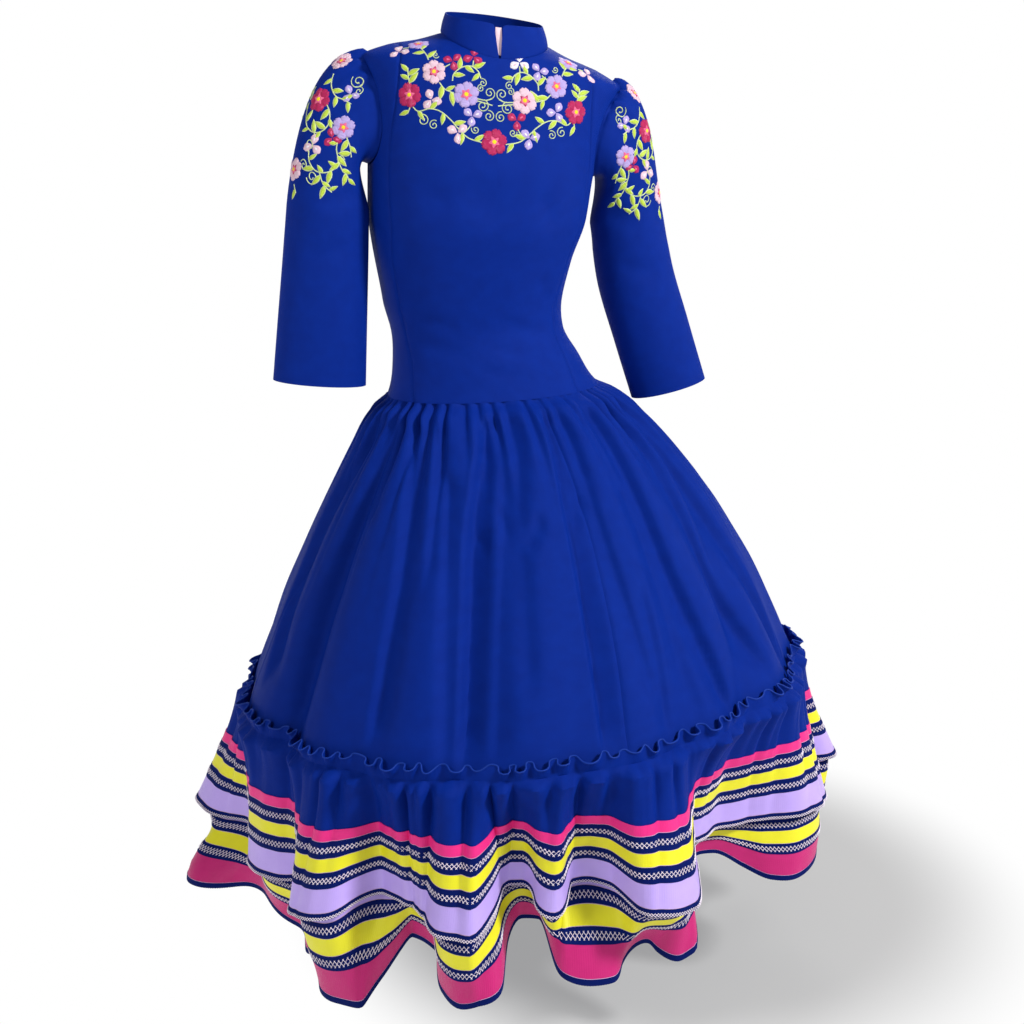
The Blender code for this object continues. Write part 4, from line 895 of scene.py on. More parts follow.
def make_bodice():
    """The five bodice panels, each from its waist up to its shoulder or neck."""
    pieces = {}
    rows = LOW_ROWS + HIGH_ROWS + 1
    columns = 5 * BODICE_STEPS
    halves = [bodice_half(centre_edge(NECK_FRONT), princess_edge(), columns, side, False, (0, 1)) for side in (1, -1)]
    outer = np.concatenate([half[0].reshape(-1, 3) for half in halves])
    inner = np.concatenate([half[1].reshape(-1, 3) for half in halves])
    left = np.arange(rows * (columns + 1)).reshape(rows, columns + 1)
    right = left + left.size
    joined_rows = np.arange(LOW_ROWS + CHEST_ROWS + 1)
    flats = np.concatenate([cell_corners(left), cell_corners(right)[:, ::-1]])
    right_merged = right.copy()
    right_merged[joined_rows, 0] = left[joined_rows, 0]
    quads = np.concatenate([cell_corners(left), cell_corners(right_merged)[:, ::-1]])
    flat = np.concatenate([flat_lengths(half[0], False).reshape(-1, 2) * np.array([side, 1])
                           for half, side in zip(halves, (1, -1))])
    pieces["bodice_front"] = shell("bodice_front_cloth", outer, inner, quads, flat, flats, "royal_blue")
    panels = (("side_front", princess_edge(), side_edge("front_angle"), 3, False),
              ("back", side_edge("back_angle"), centre_edge(NECK_BACK, back=True), 6, True))
    for side, name in SIDES:
        for panel, first, second, steps, back in panels:
            node = f"bodice_{panel}_{name}"
            outer, inner = bodice_half(first, second, steps * BODICE_STEPS, side, back, (1, 1))
            pieces[node] = cloth_shell(f"{node}_cloth", outer, inner, False, "royal_blue")
    return pieces


# Collar

COLLAR_RINGS = 14
# The collar's foot leans with the neckline's skin up to this share of its height
COLLAR_FOOT = 0.12
COLLAR_ROLL = 0.0012
# How far the notch, and the corner's drop in the top row and the one below, reach round, in columns
NOTCH_REACH = 3.0
CORNER_REACH = 1.6
CORNER_BELOW_REACH = 1.2
CORNER_BELOW_SHARE = 0.4
# The pale strip: its columns, its rows, and where it starts and ends as shares of the collar's height
UNDERLAP_COLUMNS = 7
UNDERLAP_ROWS = 12
UNDERLAP_SPAN = (0.1, 0.97)


def away_from_cloth(along, normals, towards):
    """The direction that carries on past a cloth edge, square to its line and to its normal."""
    away = unit(np.cross(along, normals))
    return away * np.sign(np.sum(away * towards, axis=-1, keepdims=True))


def neck_ring():
    """The neckline's skin points and normals for half the neck, from the front centre to the back centre."""
    front = [edge[-NECK_ROWS - 1:] for edge in centre_edge(NECK_FRONT)]
    back = [edge[-NECK_ROWS - 1:][::-1] for edge in centre_edge(NECK_BACK, back=True)]
    angle, level = np.r_[front[0], back[0][1:]], np.r_[front[1], back[1][1:]]
    return section_point(angle, level), section_normal(angle, level)


def make_collar():
    """Two stand collar halves with a notch between them, and the pale strip behind the notch."""
    pieces = {}
    base, normals = neck_ring()
    up = away_from_cloth(np.gradient(base, axis=0), normals, np.array([0, 0, 1.0]))
    turn = np.arctan2(base[:, 0], -base[:, 1])
    lean = outward(turn)
    top_level = COLLAR_TOP_BACK + (COLLAR_TOP_FRONT - COLLAR_TOP_BACK) * (1 + np.cos(turn)) / 2
    top = np.stack([base[:, 0] * COLLAR_TOP_WIDTH, base[:, 1] * COLLAR_TOP_WIDTH, top_level], axis=-1)
    inner, outer = [], []
    for share in np.linspace(0, 1, COLLAR_RINGS + 1):
        foot = max(0, 1 - share / COLLAR_FOOT)
        row = base * (1 - share) + top * share + LAID_GAP * up * foot
        out = unit(normals * foot + lean * min(1, share / COLLAR_FOOT))
        soft = COLLAR_ROLL * math.sin(math.pi * share)
        inner.append(row + soft * out)
        outer.append(row + (CLOTH + soft) * out)
    inner, outer = np.array(inner), np.array(outer)
    share = np.linspace(0, 1, COLLAR_RINGS + 1)
    notch = COLLAR_NOTCH_BASE + (COLLAR_NOTCH_TOP - COLLAR_NOTCH_BASE) * share
    column = np.arange(inner.shape[1])
    for rows in (inner, outer):
        rows[:, :, 0] += notch[:, None] * np.exp(-column / NOTCH_REACH)[None, :]
        rows[:, -1, 0] += SEAM_STEP_IN
        rows[-1, :, 2] -= COLLAR_CORNER_DROP * np.exp(-column / CORNER_REACH)
        rows[-2, :, 2] -= CORNER_BELOW_SHARE * COLLAR_CORNER_DROP * np.exp(-column / CORNER_BELOW_REACH)
    for side, name in SIDES:
        flip = np.array([side, 1, 1])
        pieces[f"collar_{name}"] = cloth_shell(f"collar_{name}_cloth", stance(outer * flip), stance(inner * flip),
                                               False, "royal_blue")
    across = np.linspace(-UNDERLAP_HALF_WIDTH, UNDERLAP_HALF_WIDTH, UNDERLAP_COLUMNS)
    share = np.linspace(*UNDERLAP_SPAN, UNDERLAP_ROWS)[:, None]
    centre = base[0] * (1 - share) + top[0] * share
    centre[:, 2] -= UNDERLAP_DROP * share[:, 0]**4
    strip = centre[:, None, :] + across[None, :, None] * np.array([1, 0, 0]) + np.array([0, UNDERLAP_BEHIND, 0])
    pieces["collar_underlap"] = cloth_shell("collar_underlap_cloth", stance(strip),
                                            stance(strip + np.array([0, SATIN, 0])), False, "pale_pink")
    return pieces


# Sleeves

# Gathers of the cap: how many would go round, the waves that shift them, and where they start and fade.
# They lie in the upper part of the cap, whose share runs from 0 under the arm to 1 at the shoulder.
SLEEVE_CAP_GATHERS = 15
SLEEVE_GATHER_SHIFT = 0.7
SLEEVE_GATHER_SHIFT_WAVES = 5
SLEEVE_GATHER_DEPTH = 0.0034
SLEEVE_GATHER_FROM = 0.5
SLEEVE_GATHER_BLEND = 0.35
SLEEVE_GATHER_START = 0.004
SLEEVE_GATHER_REACH = 0.026
# Broad soft folds below the cap's gathers
SLEEVE_FOLDS = 7
SLEEVE_FOLD_DEPTH = 0.0018
SLEEVE_FOLD_START = 1.3
SLEEVE_FOLD_REACH = 0.07

# Soft creases of a sleeve, from one point to another: x and z are shares of the way round the arm and down it
SLEEVE_ROUND = 0.36
SLEEVE_DOWN = 0.42
SLEEVE_CREASES_START = 0.1
SLEEVE_CREASE_COLUMNS = ("x0", "z0", "x1", "z1", "width", "depth")
SLEEVE_CREASE_ROWS = (
    (0.04, 0.0, 0.2, 0.14, 0.014, 0.004),
    (0.12, 0.3, 0.3, 0.42, 0.014, 0.0026),
    (0.16, 0.52, 0.34, 0.6, 0.013, 0.0024),
    (0.06, 0.1, 0.18, 0.2, 0.014, 0.0022),
    (0.34, 0.3, 0.44, 0.55, 0.018, 0.002),
    (0.7, 0.05, 0.86, 0.18, 0.018, 0.003),
    (0.62, 0.4, 0.74, 0.62, 0.02, 0.0024),
    (0.88, 0.28, 0.96, 0.46, 0.016, 0.0022),
)


def armhole_ring(side):
    """The armhole's edge, worn: its inner and outer points, round from the armpit by the front."""
    front = [edge[LOW_ROWS:] for edge in side_edge("front_angle")]
    back = [edge[LOW_ROWS:][-2:0:-1] for edge in side_edge("back_angle")]
    angle, level = np.r_[front[0], back[0]], np.r_[front[1], back[1]]
    points, normals = section_point(angle, level), section_normal(angle, level)
    along = np.roll(points, -1, axis=0) - np.roll(points, 1, axis=0)
    away = away_from_cloth(along, normals, points.mean(axis=0) - points)
    flip = np.array([side, 1, 1])
    mitre = LAID_GAP + CLOTH * np.clip(away[:, 2:], 0, 1)
    return stance((points + mitre * away) * flip), stance((points + CLOTH * normals + LAID_GAP * away) * flip)


def arm_ring(line, down, turn_round, side):
    """A ring round the arm at a share of the way down. Its turn starts at the side next to the body."""
    row = {name: line[name](down) for name in SLEEVE_COLUMNS[1:]}
    yaw, tilt = np.radians(row["turn"]), np.radians(row["tilt"])
    across = -np.cos(turn_round) * row["half_width"] * side
    deep = -np.sin(turn_round) * row["half_depth"]
    x = across * np.cos(yaw) * np.cos(tilt) - deep * np.sin(yaw)
    y = across * np.sin(yaw) + deep * np.cos(yaw)
    z = -across * np.sin(tilt)
    centre = np.array([row["x"], row["y"], row["z"]])
    return centre + np.stack([x, y, z], axis=-1)


def half_shares(length, start, end):
    """How far each point from start up to end lies along that stretch, as a share of half the ring."""
    return (length[start:end] - length[start]) / (length[end] - length[start]) / 2


def make_sleeve(side, rows, spread, lift, name):
    """A sleeve: its gathered cap leaves the armhole and joins the biceps ring, and the arm's rings follow."""
    line = smooth_lines(SLEEVE_COLUMNS, rows)
    inner_ring, outer_ring = armhole_ring(side)
    tip = HIGH_ROWS
    step = np.linalg.norm(np.roll(outer_ring, -1, axis=0) - outer_ring, axis=1)
    length = np.r_[0, np.cumsum(step)]
    share = np.r_[half_shares(length, 0, tip), 0.5 + half_shares(length, tip, len(length) - 1)]
    turn_round = 2 * np.pi * share
    cap = (1 - np.cos(turn_round)) / 2
    shift = SLEEVE_GATHER_SHIFT * np.sin(2 * np.pi * SLEEVE_GATHER_SHIFT_WAVES * share)
    gathers = np.cos(2 * np.pi * SLEEVE_CAP_GATHERS * (share - 0.5) + shift)
    gathers = gathers * ease((cap - SLEEVE_GATHER_FROM) / SLEEVE_GATHER_BLEND) * SLEEVE_GATHER_DEPTH
    biceps = arm_ring(line, 0.0, turn_round, side)
    arm_way = unit(arm_ring(line, ARM_STEP, turn_round, side) - biceps)
    pull = (ARM_PULL_UNDER + (ARM_PULL_TOP - ARM_PULL_UNDER) * cap)[:, None]
    leave = np.array([side, 0, 0]) * (UNDERARM_SPREAD + (spread - UNDERARM_SPREAD) * cap)[:, None]
    rise = lift * cap**2 + UNDERARM_LIFT * (1 - cap)**UNDERARM_SHARPNESS
    leave = leave + np.array([0, 0, 1]) * rise[:, None]
    grid = []
    for row in range(SLEEVE_CAP_RINGS + 1):
        at_cap, leaving, at_arm, arriving = cubic_weights(row / SLEEVE_CAP_RINGS)
        grid.append(at_cap * outer_ring + leaving * leave + at_arm * biceps + arriving * pull * arm_way)
    for row in range(1, SLEEVE_ARM_RINGS + 1):
        grid.append(arm_ring(line, row / SLEEVE_ARM_RINGS, turn_round, side))
    grid = np.array(grid)
    normals = grid_normals(grid, True)
    ways = np.linalg.norm(np.diff(grid, axis=0), axis=-1).mean(axis=1)
    down = np.r_[0, np.cumsum(ways)][:, None]
    relief = gathers[None, :] * np.exp(-down / SLEEVE_GATHER_REACH) * ease(down / SLEEVE_GATHER_START)
    folds = SLEEVE_FOLD_DEPTH * np.cos(2 * np.pi * SLEEVE_FOLDS * share + SLEEVE_FOLD_START)
    relief = relief + folds[None, :] * np.exp(-down / SLEEVE_FOLD_REACH) * cap[None, :]
    relief = relief - seam_groove(down)
    arm = ease(down / SLEEVE_CREASES_START)
    around_arm = share[None, :] * SLEEVE_ROUND + 0 * down
    for row in named_rows(SLEEVE_CREASE_COLUMNS, SLEEVE_CREASE_ROWS):
        metres = dict(row, x0=row["x0"] * SLEEVE_ROUND, x1=row["x1"] * SLEEVE_ROUND,
                      z0=row["z0"] * SLEEVE_DOWN, z1=row["z1"] * SLEEVE_DOWN)
        relief = relief - row["depth"] * near_line(around_arm, down + 0 * around_arm, metres) * arm
    outer = grid + relief[..., None] * normals
    normals = grid_normals(outer, True)
    inner = outer - CLOTH * normals
    inner[0] = inner_ring
    piece = cloth_shell(f"{name}_cloth", outer, inner, True, "royal_blue")
    return piece, Surface(share * 360, down[:, 0], outer, normals)


# Skirt

# The skirt's rows lie closer together near the waist
SKIRT_LEVELS = WAIST_SEAM + (SKIRT_END - WAIST_SEAM) * (np.linspace(0, 1, SKIRT_RINGS + 1)**1.35)

# Waist puckers: a sharp valley between every two gathers. Some run on down the skirt.
PUCKER_DEPTH = 0.0094
PUCKER_WIDTH = 0.16
PUCKER_START = 0.005
PUCKER_REACH = 0.026
PUCKER_LONGER = 0.09

# Long folds of the skirt: the points (azimuth, level) that each runs through, its widths to both sides and depth
SKIRT_FOLD_LINES = (
    (((-5.8, -0.53), (-12.2, -0.614), (-14.0, -0.689), (-12.8, -0.8), (-10.8, -0.985)), 0.008, 0.038, 0.023),
    (((18.2, -0.53), (14.2, -0.672), (14.8, -0.847), (16.0, -0.985)), 0.005, 0.032, 0.0166),
    (((43.0, -0.53), (39.5, -0.719), (46.0, -0.985)), 0.031, 0.008, 0.0192),
    (((29.5, -0.76), (29.5, -0.985)), 0.018, 0.008, 0.0086),
    (((26.0, -0.53), (23.0, -0.677), (25.5, -0.834), (28.0, -0.93)), 0.023, 0.008, 0.0096),
    (((58.8, -0.53), (54.5, -0.739), (61.5, -0.96)), 0.036, 0.009, 0.0173),
    (((5.5, -0.53), (0.0, -0.664), (1.2, -0.9)), 0.02, 0.014, 0.0077),
    (((-3.8, -0.6), (-5.0, -0.811), (-4.5, -0.985)), 0.011, 0.022, 0.0086),
    (((-23.2, -0.6), (-18.0, -0.8), (-14.2, -0.985)), 0.009, 0.025, 0.0106),
    (((-30.0, -0.53), (-26.0, -0.64), (-24.0, -0.76)), 0.007, 0.023, 0.0096),
    (((-41.8, -0.53), (-33.2, -0.716), (-30.0, -0.96)), 0.008, 0.029, 0.0134),
    (((-51.2, -0.53), (-58.5, -0.759), (-55.5, -0.985)), 0.009, 0.032, 0.0173),
    (((-66.5, -0.53), (-75.8, -0.694), (-67.8, -0.93)), 0.011, 0.031, 0.0154),
    (((36.0, -0.64), (35.0, -0.78), (38.0, -0.985)), 0.02, 0.011, 0.0068),
    (((70.0, -0.53), (68.0, -0.72), (74.0, -0.985)), 0.029, 0.009, 0.0154),
    (((86.0, -0.53), (90.0, -0.74), (88.0, -0.985)), 0.009, 0.032, 0.0164),
    (((101.0, -0.56), (97.0, -0.76), (100.0, -0.96)), 0.023, 0.009, 0.0115),
    (((114.0, -0.53), (117.0, -0.72), (113.0, -0.985)), 0.009, 0.034, 0.0182),
    (((128.0, -0.53), (125.0, -0.68), (127.0, -0.9)), 0.022, 0.008, 0.0106),
    (((143.0, -0.53), (147.0, -0.72), (144.0, -0.985)), 0.009, 0.036, 0.0192),
    (((158.0, -0.6), (155.0, -0.78), (157.0, -0.985)), 0.027, 0.009, 0.0106),
    (((171.0, -0.53), (174.0, -0.7), (170.0, -0.985)), 0.008, 0.034, 0.0202),
    (((-177.0, -0.53), (-174.0, -0.65), (-176.0, -0.82)), 0.022, 0.008, 0.0096),
    (((-163.0, -0.53), (-160.0, -0.74), (-164.0, -0.985)), 0.009, 0.032, 0.0173),
    (((-150.0, -0.58), (-153.0, -0.76), (-150.0, -0.96)), 0.025, 0.009, 0.0106),
    (((-136.0, -0.53), (-133.0, -0.72), (-137.0, -0.985)), 0.008, 0.034, 0.0182),
    (((-122.0, -0.53), (-125.0, -0.69), (-121.0, -0.9)), 0.023, 0.008, 0.0096),
    (((-108.0, -0.53), (-105.0, -0.73), (-109.0, -0.985)), 0.009, 0.032, 0.0173),
    (((-93.0, -0.55), (-96.0, -0.74), (-91.0, -0.96)), 0.027, 0.009, 0.0115),
)
FOLD_START_FADE = 0.03
FOLD_END_FADE = 0.05

# Small creases of the skirt: azimuth and level, from one point to another, width and depth in metres
SKIRT_CREASE_COLUMNS = ("azimuth0", "level0", "azimuth1", "level1", "width", "depth")
SKIRT_CREASE_ROWS = (
    (1.0, -0.704, 7.6, -0.662, 0.01, 0.0084),
    (-7.5, -0.64, -2.5, -0.7, 0.008, 0.004),
    (14.5, -0.682, 22.5, -0.645, 0.01, 0.0066),
    (22.0, -0.6, 27.0, -0.632, 0.008, 0.003),
    (-15.0, -0.69, -8.0, -0.7, 0.01, 0.0052),
    (-30.0, -0.745, -24.0, -0.705, 0.009, 0.0026),
    (31.0, -0.632, 38.0, -0.66, 0.009, 0.003),
    (-52.0, -0.64, -46.0, -0.672, 0.01, 0.003),
    (-100.0, -0.64, -92.0, -0.672, 0.01, 0.0036),
    (-150.0, -0.66, -142.0, -0.69, 0.01, 0.0036),
    (160.0, -0.65, 167.0, -0.688, 0.01, 0.0036),
    (128.0, -0.7, 135.0, -0.665, 0.01, 0.0036),
    (84.0, -0.665, 91.0, -0.7, 0.01, 0.0036),
)


def gather_phase(angle):
    """How far round its own wave each of the waist's uneven gathers is."""
    return wavering(WAIST_GATHERS * angle, angle, GATHER_SHIFTS)


def skirt_push(azimuth, level):
    """How far the skirt's cloth lies out from its round section at these azimuths and this level."""
    angle = np.radians(azimuth)
    down = (WAIST_SEAM - level) / (WAIST_SEAM - SKIRT_END)
    waves, strength, phase = GATHER_DEPTH_WAVE
    push = GATHER["depth"](level) * np.cos(gather_phase(angle))
    push = push * (1 - strength + strength * np.sin(waves * angle + phase))
    folds = table(SKIRT_FOLD_COLUMNS, SKIRT_FOLD_ROWS)
    for k in range(len(folds["azimuth"])):
        line = folds["azimuth"][k] + folds["drift"][k] * (1 - down)
        grow = ease((down - folds["start"][k]) / SKIRT_FOLD_GROWTH)
        push = push - folds["depth"][k] * grow * np.exp(-(around(azimuth - line) / folds["width"][k])**2)
    return push


def skirt_ring(azimuth, level, extra=0.0):
    """Skirt points at one level, worn. The azimuth is in degrees from the front, +90 the wearer's left."""
    angle = np.radians(azimuth)
    points = section_point(angle, level)
    points[..., 0] *= np.sign(np.sin(angle))
    push = skirt_push(azimuth, level) + extra
    return stance(points + outward(angle) * push[..., None])


def waist_valleys(angle, below):
    """The valleys between the waist's gathers: how deep each is at this distance below the seam."""
    turns = (gather_phase(angle) - np.pi) / (2 * np.pi)
    nearest = np.round(turns)
    strength = scattered(nearest, 4.1)
    depth = PUCKER_DEPTH * (0.2 + 0.8 * strength) * np.exp(-below / (PUCKER_REACH + PUCKER_LONGER * strength**2))
    return depth * np.exp(-((turns - nearest) / PUCKER_WIDTH)**2) * ease(below / PUCKER_START)


def long_folds(azimuth, level):
    """How deep the long folds are at these azimuths and this level."""
    depth_here = 0 * azimuth
    for points, left, right, depth in SKIRT_FOLD_LINES:
        azimuths, levels = zip(*points)
        ends = ease((levels[0] - level) / FOLD_START_FADE) * ease((level - levels[-1]) / FOLD_END_FADE)
        if ends > 0:
            line = smooth_line(levels, azimuths)(level)
            across = np.radians(around(azimuth - line)) * BODY["half_width"](level)
            width = np.where(across < 0, left, right)
            depth_here = depth_here + depth * ends * np.exp(-(across / width)**2)
    return depth_here


def skirt_detail(azimuth, level):
    """Puckers under the waist seam, long folds and small creases, on top of the folds of the solids."""
    angle = np.radians(azimuth)
    relief = -waist_valleys(angle, WAIST_SEAM - level) - long_folds(azimuth, level)
    radius = float(BODY["half_width"](level))
    for row in named_rows(SKIRT_CREASE_COLUMNS, SKIRT_CREASE_ROWS):
        metres = {"x0": 0.0, "z0": row["level0"], "z1": row["level1"], "width": row["width"],
                  "x1": math.radians(row["azimuth1"] - row["azimuth0"]) * radius}
        across = np.radians(around(azimuth - row["azimuth0"])) * radius
        relief = relief - row["depth"] * near_line(across, level, metres)
    return relief


def make_skirt():
    """The four skirt panels, on one fine surface cut at the panel seams."""
    azimuth = all_round(SKIRT_COLUMNS)
    outer = []
    for level in SKIRT_LEVELS:
        extra = skirt_detail(azimuth, level)
        for start, _ in SKIRT_SEAMS.values():
            away = np.radians(around(azimuth - start)) * BODY["half_width"](level)
            extra = extra - seam_groove(away)
        outer.append(skirt_ring(azimuth, level, extra + CLOTH))
    outer = np.array(outer)
    outer[0, :, 2] -= SEAM_STEP_IN
    normals = grid_normals(outer, True)
    normals[0] = unit(normals[0] * np.array([1, 1, 0]))
    inner = outer - CLOTH * normals
    pieces = {}
    for name, (start, end) in SKIRT_SEAMS.items():
        first, last = (round((edge + 180) * SKIRT_COLUMNS / 360) for edge in (start, end))
        pick = np.arange(first, last + 1) % SKIRT_COLUMNS
        cut_outer, cut_inner = outer[:, pick].copy(), inner[:, pick].copy()
        for at, beside in ((0, 1), (-1, -2)):
            way = SEAM_STEP_IN * unit(cut_outer[:, beside] - cut_outer[:, at])
            cut_outer[:, at] += way
            cut_inner[:, at] += way
        pieces[name] = cloth_shell(f"{name}_cloth", cut_outer, cut_inner, False, "royal_blue")
    return pieces


# Flounces

FOLD_LEAN = 0.14
FOLD_LEAN_STEEPNESS = 1.2

# Gathers under the gathering line: how many round the flounce, how wide each valley is, and a shift
LINE_GATHERS = ((64, 0.2, 1), (41, 0.16, 4), (122, 0.22, 2))
# How far they puff out, how far down they reach at full size, and how much further where they are strong
GATHER_PUFF = 0.022
GATHER_PUFF_START = 0.015
GATHER_PUFF_REACH = 0.06
GATHER_PUFF_LONGER = 0.05
SECOND_GATHERS_SHARE = 0.6
FINE_PUFF = 0.0034
FINE_PUFF_START = 0.004
FINE_PUFF_REACH = 0.024
VALLEY_SHARE = 0.5
VALLEY_REACH = 0.15


def around_table(rows):
    """A fold table continued a little past both ends of the round."""
    data = table(FOLD_COLUMNS, rows)
    at = data["azimuth"]
    data = {name: np.r_[values[-3:], values, values[:3]] for name, values in data.items()}
    data["azimuth"] = np.r_[at[-3:] - 360, at, at[:3] + 360]
    return data


class Hem:
    """A flounce's hem: how far out, how far down and how far over it folds at any azimuth."""

    def __init__(self, rows):
        data = around_table(rows)
        self.start = rows[0][0]
        self.out = smooth_line(data["azimuth"], data["out"])
        self.fall = smooth_line(data["azimuth"], data["fall"])
        out = data["out"]
        turns = [0] + [k for k in range(1, len(out) - 1) if (out[k] - out[k - 1]) * (out[k + 1] - out[k]) <= 0]
        turns += [len(out) - 1]
        self.turn_at, self.turn_out = data["azimuth"][turns], out[turns]

    def at(self, azimuth):
        """How far out the hem lies, how far down, and how far over it folds, in degrees."""
        azimuth = (azimuth - self.start) % 360 + self.start
        k = np.clip(np.searchsorted(self.turn_at, azimuth, side="right") - 1, 0, len(self.turn_at) - 2)
        span = self.turn_at[k + 1] - self.turn_at[k]
        share = (azimuth - self.turn_at[k]) / span
        wide = np.radians(span) * BODY["half_width"](SKIRT_END)
        steep = np.clip(np.abs(self.turn_out[k + 1] - self.turn_out[k]) / wide / FOLD_LEAN_STEEPNESS, 0, 1)
        lean = FOLD_LEAN * span * np.sin(2 * np.pi * share) * steep
        return self.out(azimuth), self.fall(azimuth), lean


UPPER_HEM, LOWER_HEM = Hem(UPPER_FOLDS), Hem(LOWER_FOLDS)


def carried(azimuth, out, fall):
    """The skirt's lower edge moved outward and down, by azimuth."""
    angle = np.radians(azimuth)
    return skirt_ring(azimuth, SKIRT_END) + np.stack([out * np.sin(angle), -out * np.cos(angle), -fall], axis=-1)


def pleats(angle, waves, width, shift):
    """Valleys round the flounce, uneven in place and strength: 1 in a valley's line, 0 on a ridge."""
    turns = wavering(waves * angle, angle, ((9, 1.3, shift), (23, 0.9, 2 * shift))) / (2 * np.pi)
    nearest = np.round(turns)
    strength = scattered(nearest, 2.3 * shift)
    return (0.55 + 0.45 * strength) * np.exp(-((turns - nearest) / width)**2), strength


def tuck(down):
    """How far the lower flounce is tucked in behind the upper one, at a distance down them."""
    return LOWER_TOP_TUCK + (LOWER_TUCK - LOWER_TOP_TUCK) * ease(down / LOWER_TUCKED_BY)


def gathers_below_line(azimuth, down):
    """Gathers that start at the gathering line: ridges that puff out between sharp valleys, and fade lower down."""
    angle = np.radians(azimuth)
    (first, strength), (second, _), (fine, _) = (pleats(angle, *row) for row in LINE_GATHERS)
    reach = GATHER_PUFF_REACH + GATHER_PUFF_LONGER * strength
    puff = GATHER_PUFF * ease(down / GATHER_PUFF_START) * np.exp(-down / reach)
    puff = puff * (1 - first) * (1 - SECOND_GATHERS_SHARE * second)
    puff = puff + FINE_PUFF * (1 - fine) * np.exp(-down / FINE_PUFF_REACH) * ease(down / FINE_PUFF_START)
    return puff - VALLEY_SHARE * tuck(down) * first * np.exp(-down / VALLEY_REACH)


def upper_ring(azimuth, down, plain=False):
    """The upper flounce at a distance down it. Valleys go in quickly, and lobes come out evenly."""
    out, fall, lean = UPPER_HEM.at(azimuth)
    share = down / UPPER_LENGTH
    deep = 1 - (1 - min(share, 1))**2
    push = np.where(out < 0, out * deep, out * share) + CLOTH + LAID_GAP
    if not plain:
        push = push + gathers_below_line(azimuth, down)
    return carried(azimuth + lean * share**2, push, fall * share)


def level_normals(ring):
    """Outward normals in the plan of a closed ring."""
    along = np.roll(ring, -1, axis=0) - np.roll(ring, 1, axis=0)
    return unit(np.stack([along[:, 1], -along[:, 0], 0 * along[:, 0]], axis=-1))


def lower_ring(azimuth, down):
    """The lower flounce at a distance down it: tucked behind the upper one, then free."""
    tucked = upper_ring(azimuth, down, plain=True)
    straight = outward(np.radians(azimuth))
    tucked = tucked - (level_normals(tucked) + straight) / 2 * (CLOTH + LAID_GAP + tuck(down))
    out, fall, lean = LOWER_HEM.at(azimuth)
    free = ease((down - LOWER_FREE_FROM) / (LOWER_LENGTH - LOWER_FREE_FROM))
    own = carried(azimuth + lean * free, out, fall * down / LOWER_LENGTH)
    return tucked * (1 - free) + own * free


class Surface:
    """A tube of cloth that can be read at any azimuth and any distance down it."""

    def __init__(self, azimuth, down, points, normals):
        self.azimuth = np.r_[azimuth, azimuth[0] + 360]
        self.down = down
        self.points = np.concatenate([points, points[:, :1]], axis=1)
        self.normals = np.concatenate([normals, normals[:, :1]], axis=1)

    def at(self, azimuth, down):
        """The points and the outward normals there."""
        azimuth, down = np.broadcast_arrays(azimuth, down)
        azimuth = (azimuth - self.azimuth[0]) % 360 + self.azimuth[0]
        i = np.clip(np.searchsorted(self.azimuth, azimuth, side="right") - 1, 0, len(self.azimuth) - 2)
        j = np.clip(np.searchsorted(self.down, down, side="right") - 1, 0, len(self.down) - 2)
        u = ((azimuth - self.azimuth[i]) / (self.azimuth[i + 1] - self.azimuth[i]))[..., None]
        v = ((down - self.down[j]) / (self.down[j + 1] - self.down[j]))[..., None]
        found = []
        for values in (self.points, self.normals):
            top = values[j, i] * (1 - u) + values[j, i + 1] * u
            bottom = values[j + 1, i] * (1 - u) + values[j + 1, i + 1] * u
            found.append(top * (1 - v) + bottom * v)
        return found[0], unit(found[1])

    def by_length(self, down):
        """Azimuths and lengths along the cloth's own line at this distance down it."""
        azimuth = np.linspace(self.azimuth[0], self.azimuth[-1], 4001)
        line, _ = self.at(azimuth[:-1], down)
        return azimuth, lengths_along(np.concatenate([line, line[:1]]))


# The frill: waves round it that shift its loops, and vary how deep, how far round and how high each swings.
# Each has its count round, its strength and its own start.
HEADING_RINGS = 8
HEADING_DROOP = 0.0035
HEADING_SHIFTS = ((17, 1.0, 0), (41, 0.6, 1), (7, 0.8, 0))
HEADING_DEPTHS = ((13, 0.28, 0), (29, 0.26, 2))
HEADING_DEPTH_SHARE = 0.85
HEADING_LOOPS = ((11, 0.2, 1), (37, 0.14, 3))
HEADING_LOOP_SHARE = 0.34
HEADING_RISES = ((9, -0.0018, 0), (53, -0.0016, 1))
HEADING_SWING_POWER = 1.2

UPPER_RINGS = 34
LOWER_HIDDEN = 0.15
LOWER_HIDDEN_RINGS = 6
LOWER_RINGS = 24


def heading_grid(azimuth):
    """The frill above the gathering line, from its free edge down to the line. It swings in and out in loops."""
    angle = np.radians(azimuth)
    phase = wavering(HEADING_WAVES * angle, angle, HEADING_SHIFTS)
    depth = HEADING_WAVE_DEPTH * wavering(HEADING_DEPTH_SHARE, angle, HEADING_DEPTHS)
    looped = wavering(HEADING_LOOP_SHARE, angle, HEADING_LOOPS)
    droop = wavering(HEADING_DROOP * np.cos(phase), angle, HEADING_RISES)
    rings = []
    for share in np.linspace(1, 0, HEADING_RINGS + 1)[:-1]:
        swing = share**HEADING_SWING_POWER
        turned = azimuth + np.degrees(looped * np.sin(2 * phase) / HEADING_WAVES) * swing
        ring = skirt_ring(turned, SKIRT_END + HEADING_HEIGHT * share)
        stand = CLOTH + LAID_GAP + HEADING_STAND * share + depth * (1 + np.cos(phase)) * swing
        ring = ring + outward(np.radians(turned)) * stand[:, None]
        ring[:, 2] -= droop * swing
        rings.append(ring)
    return rings


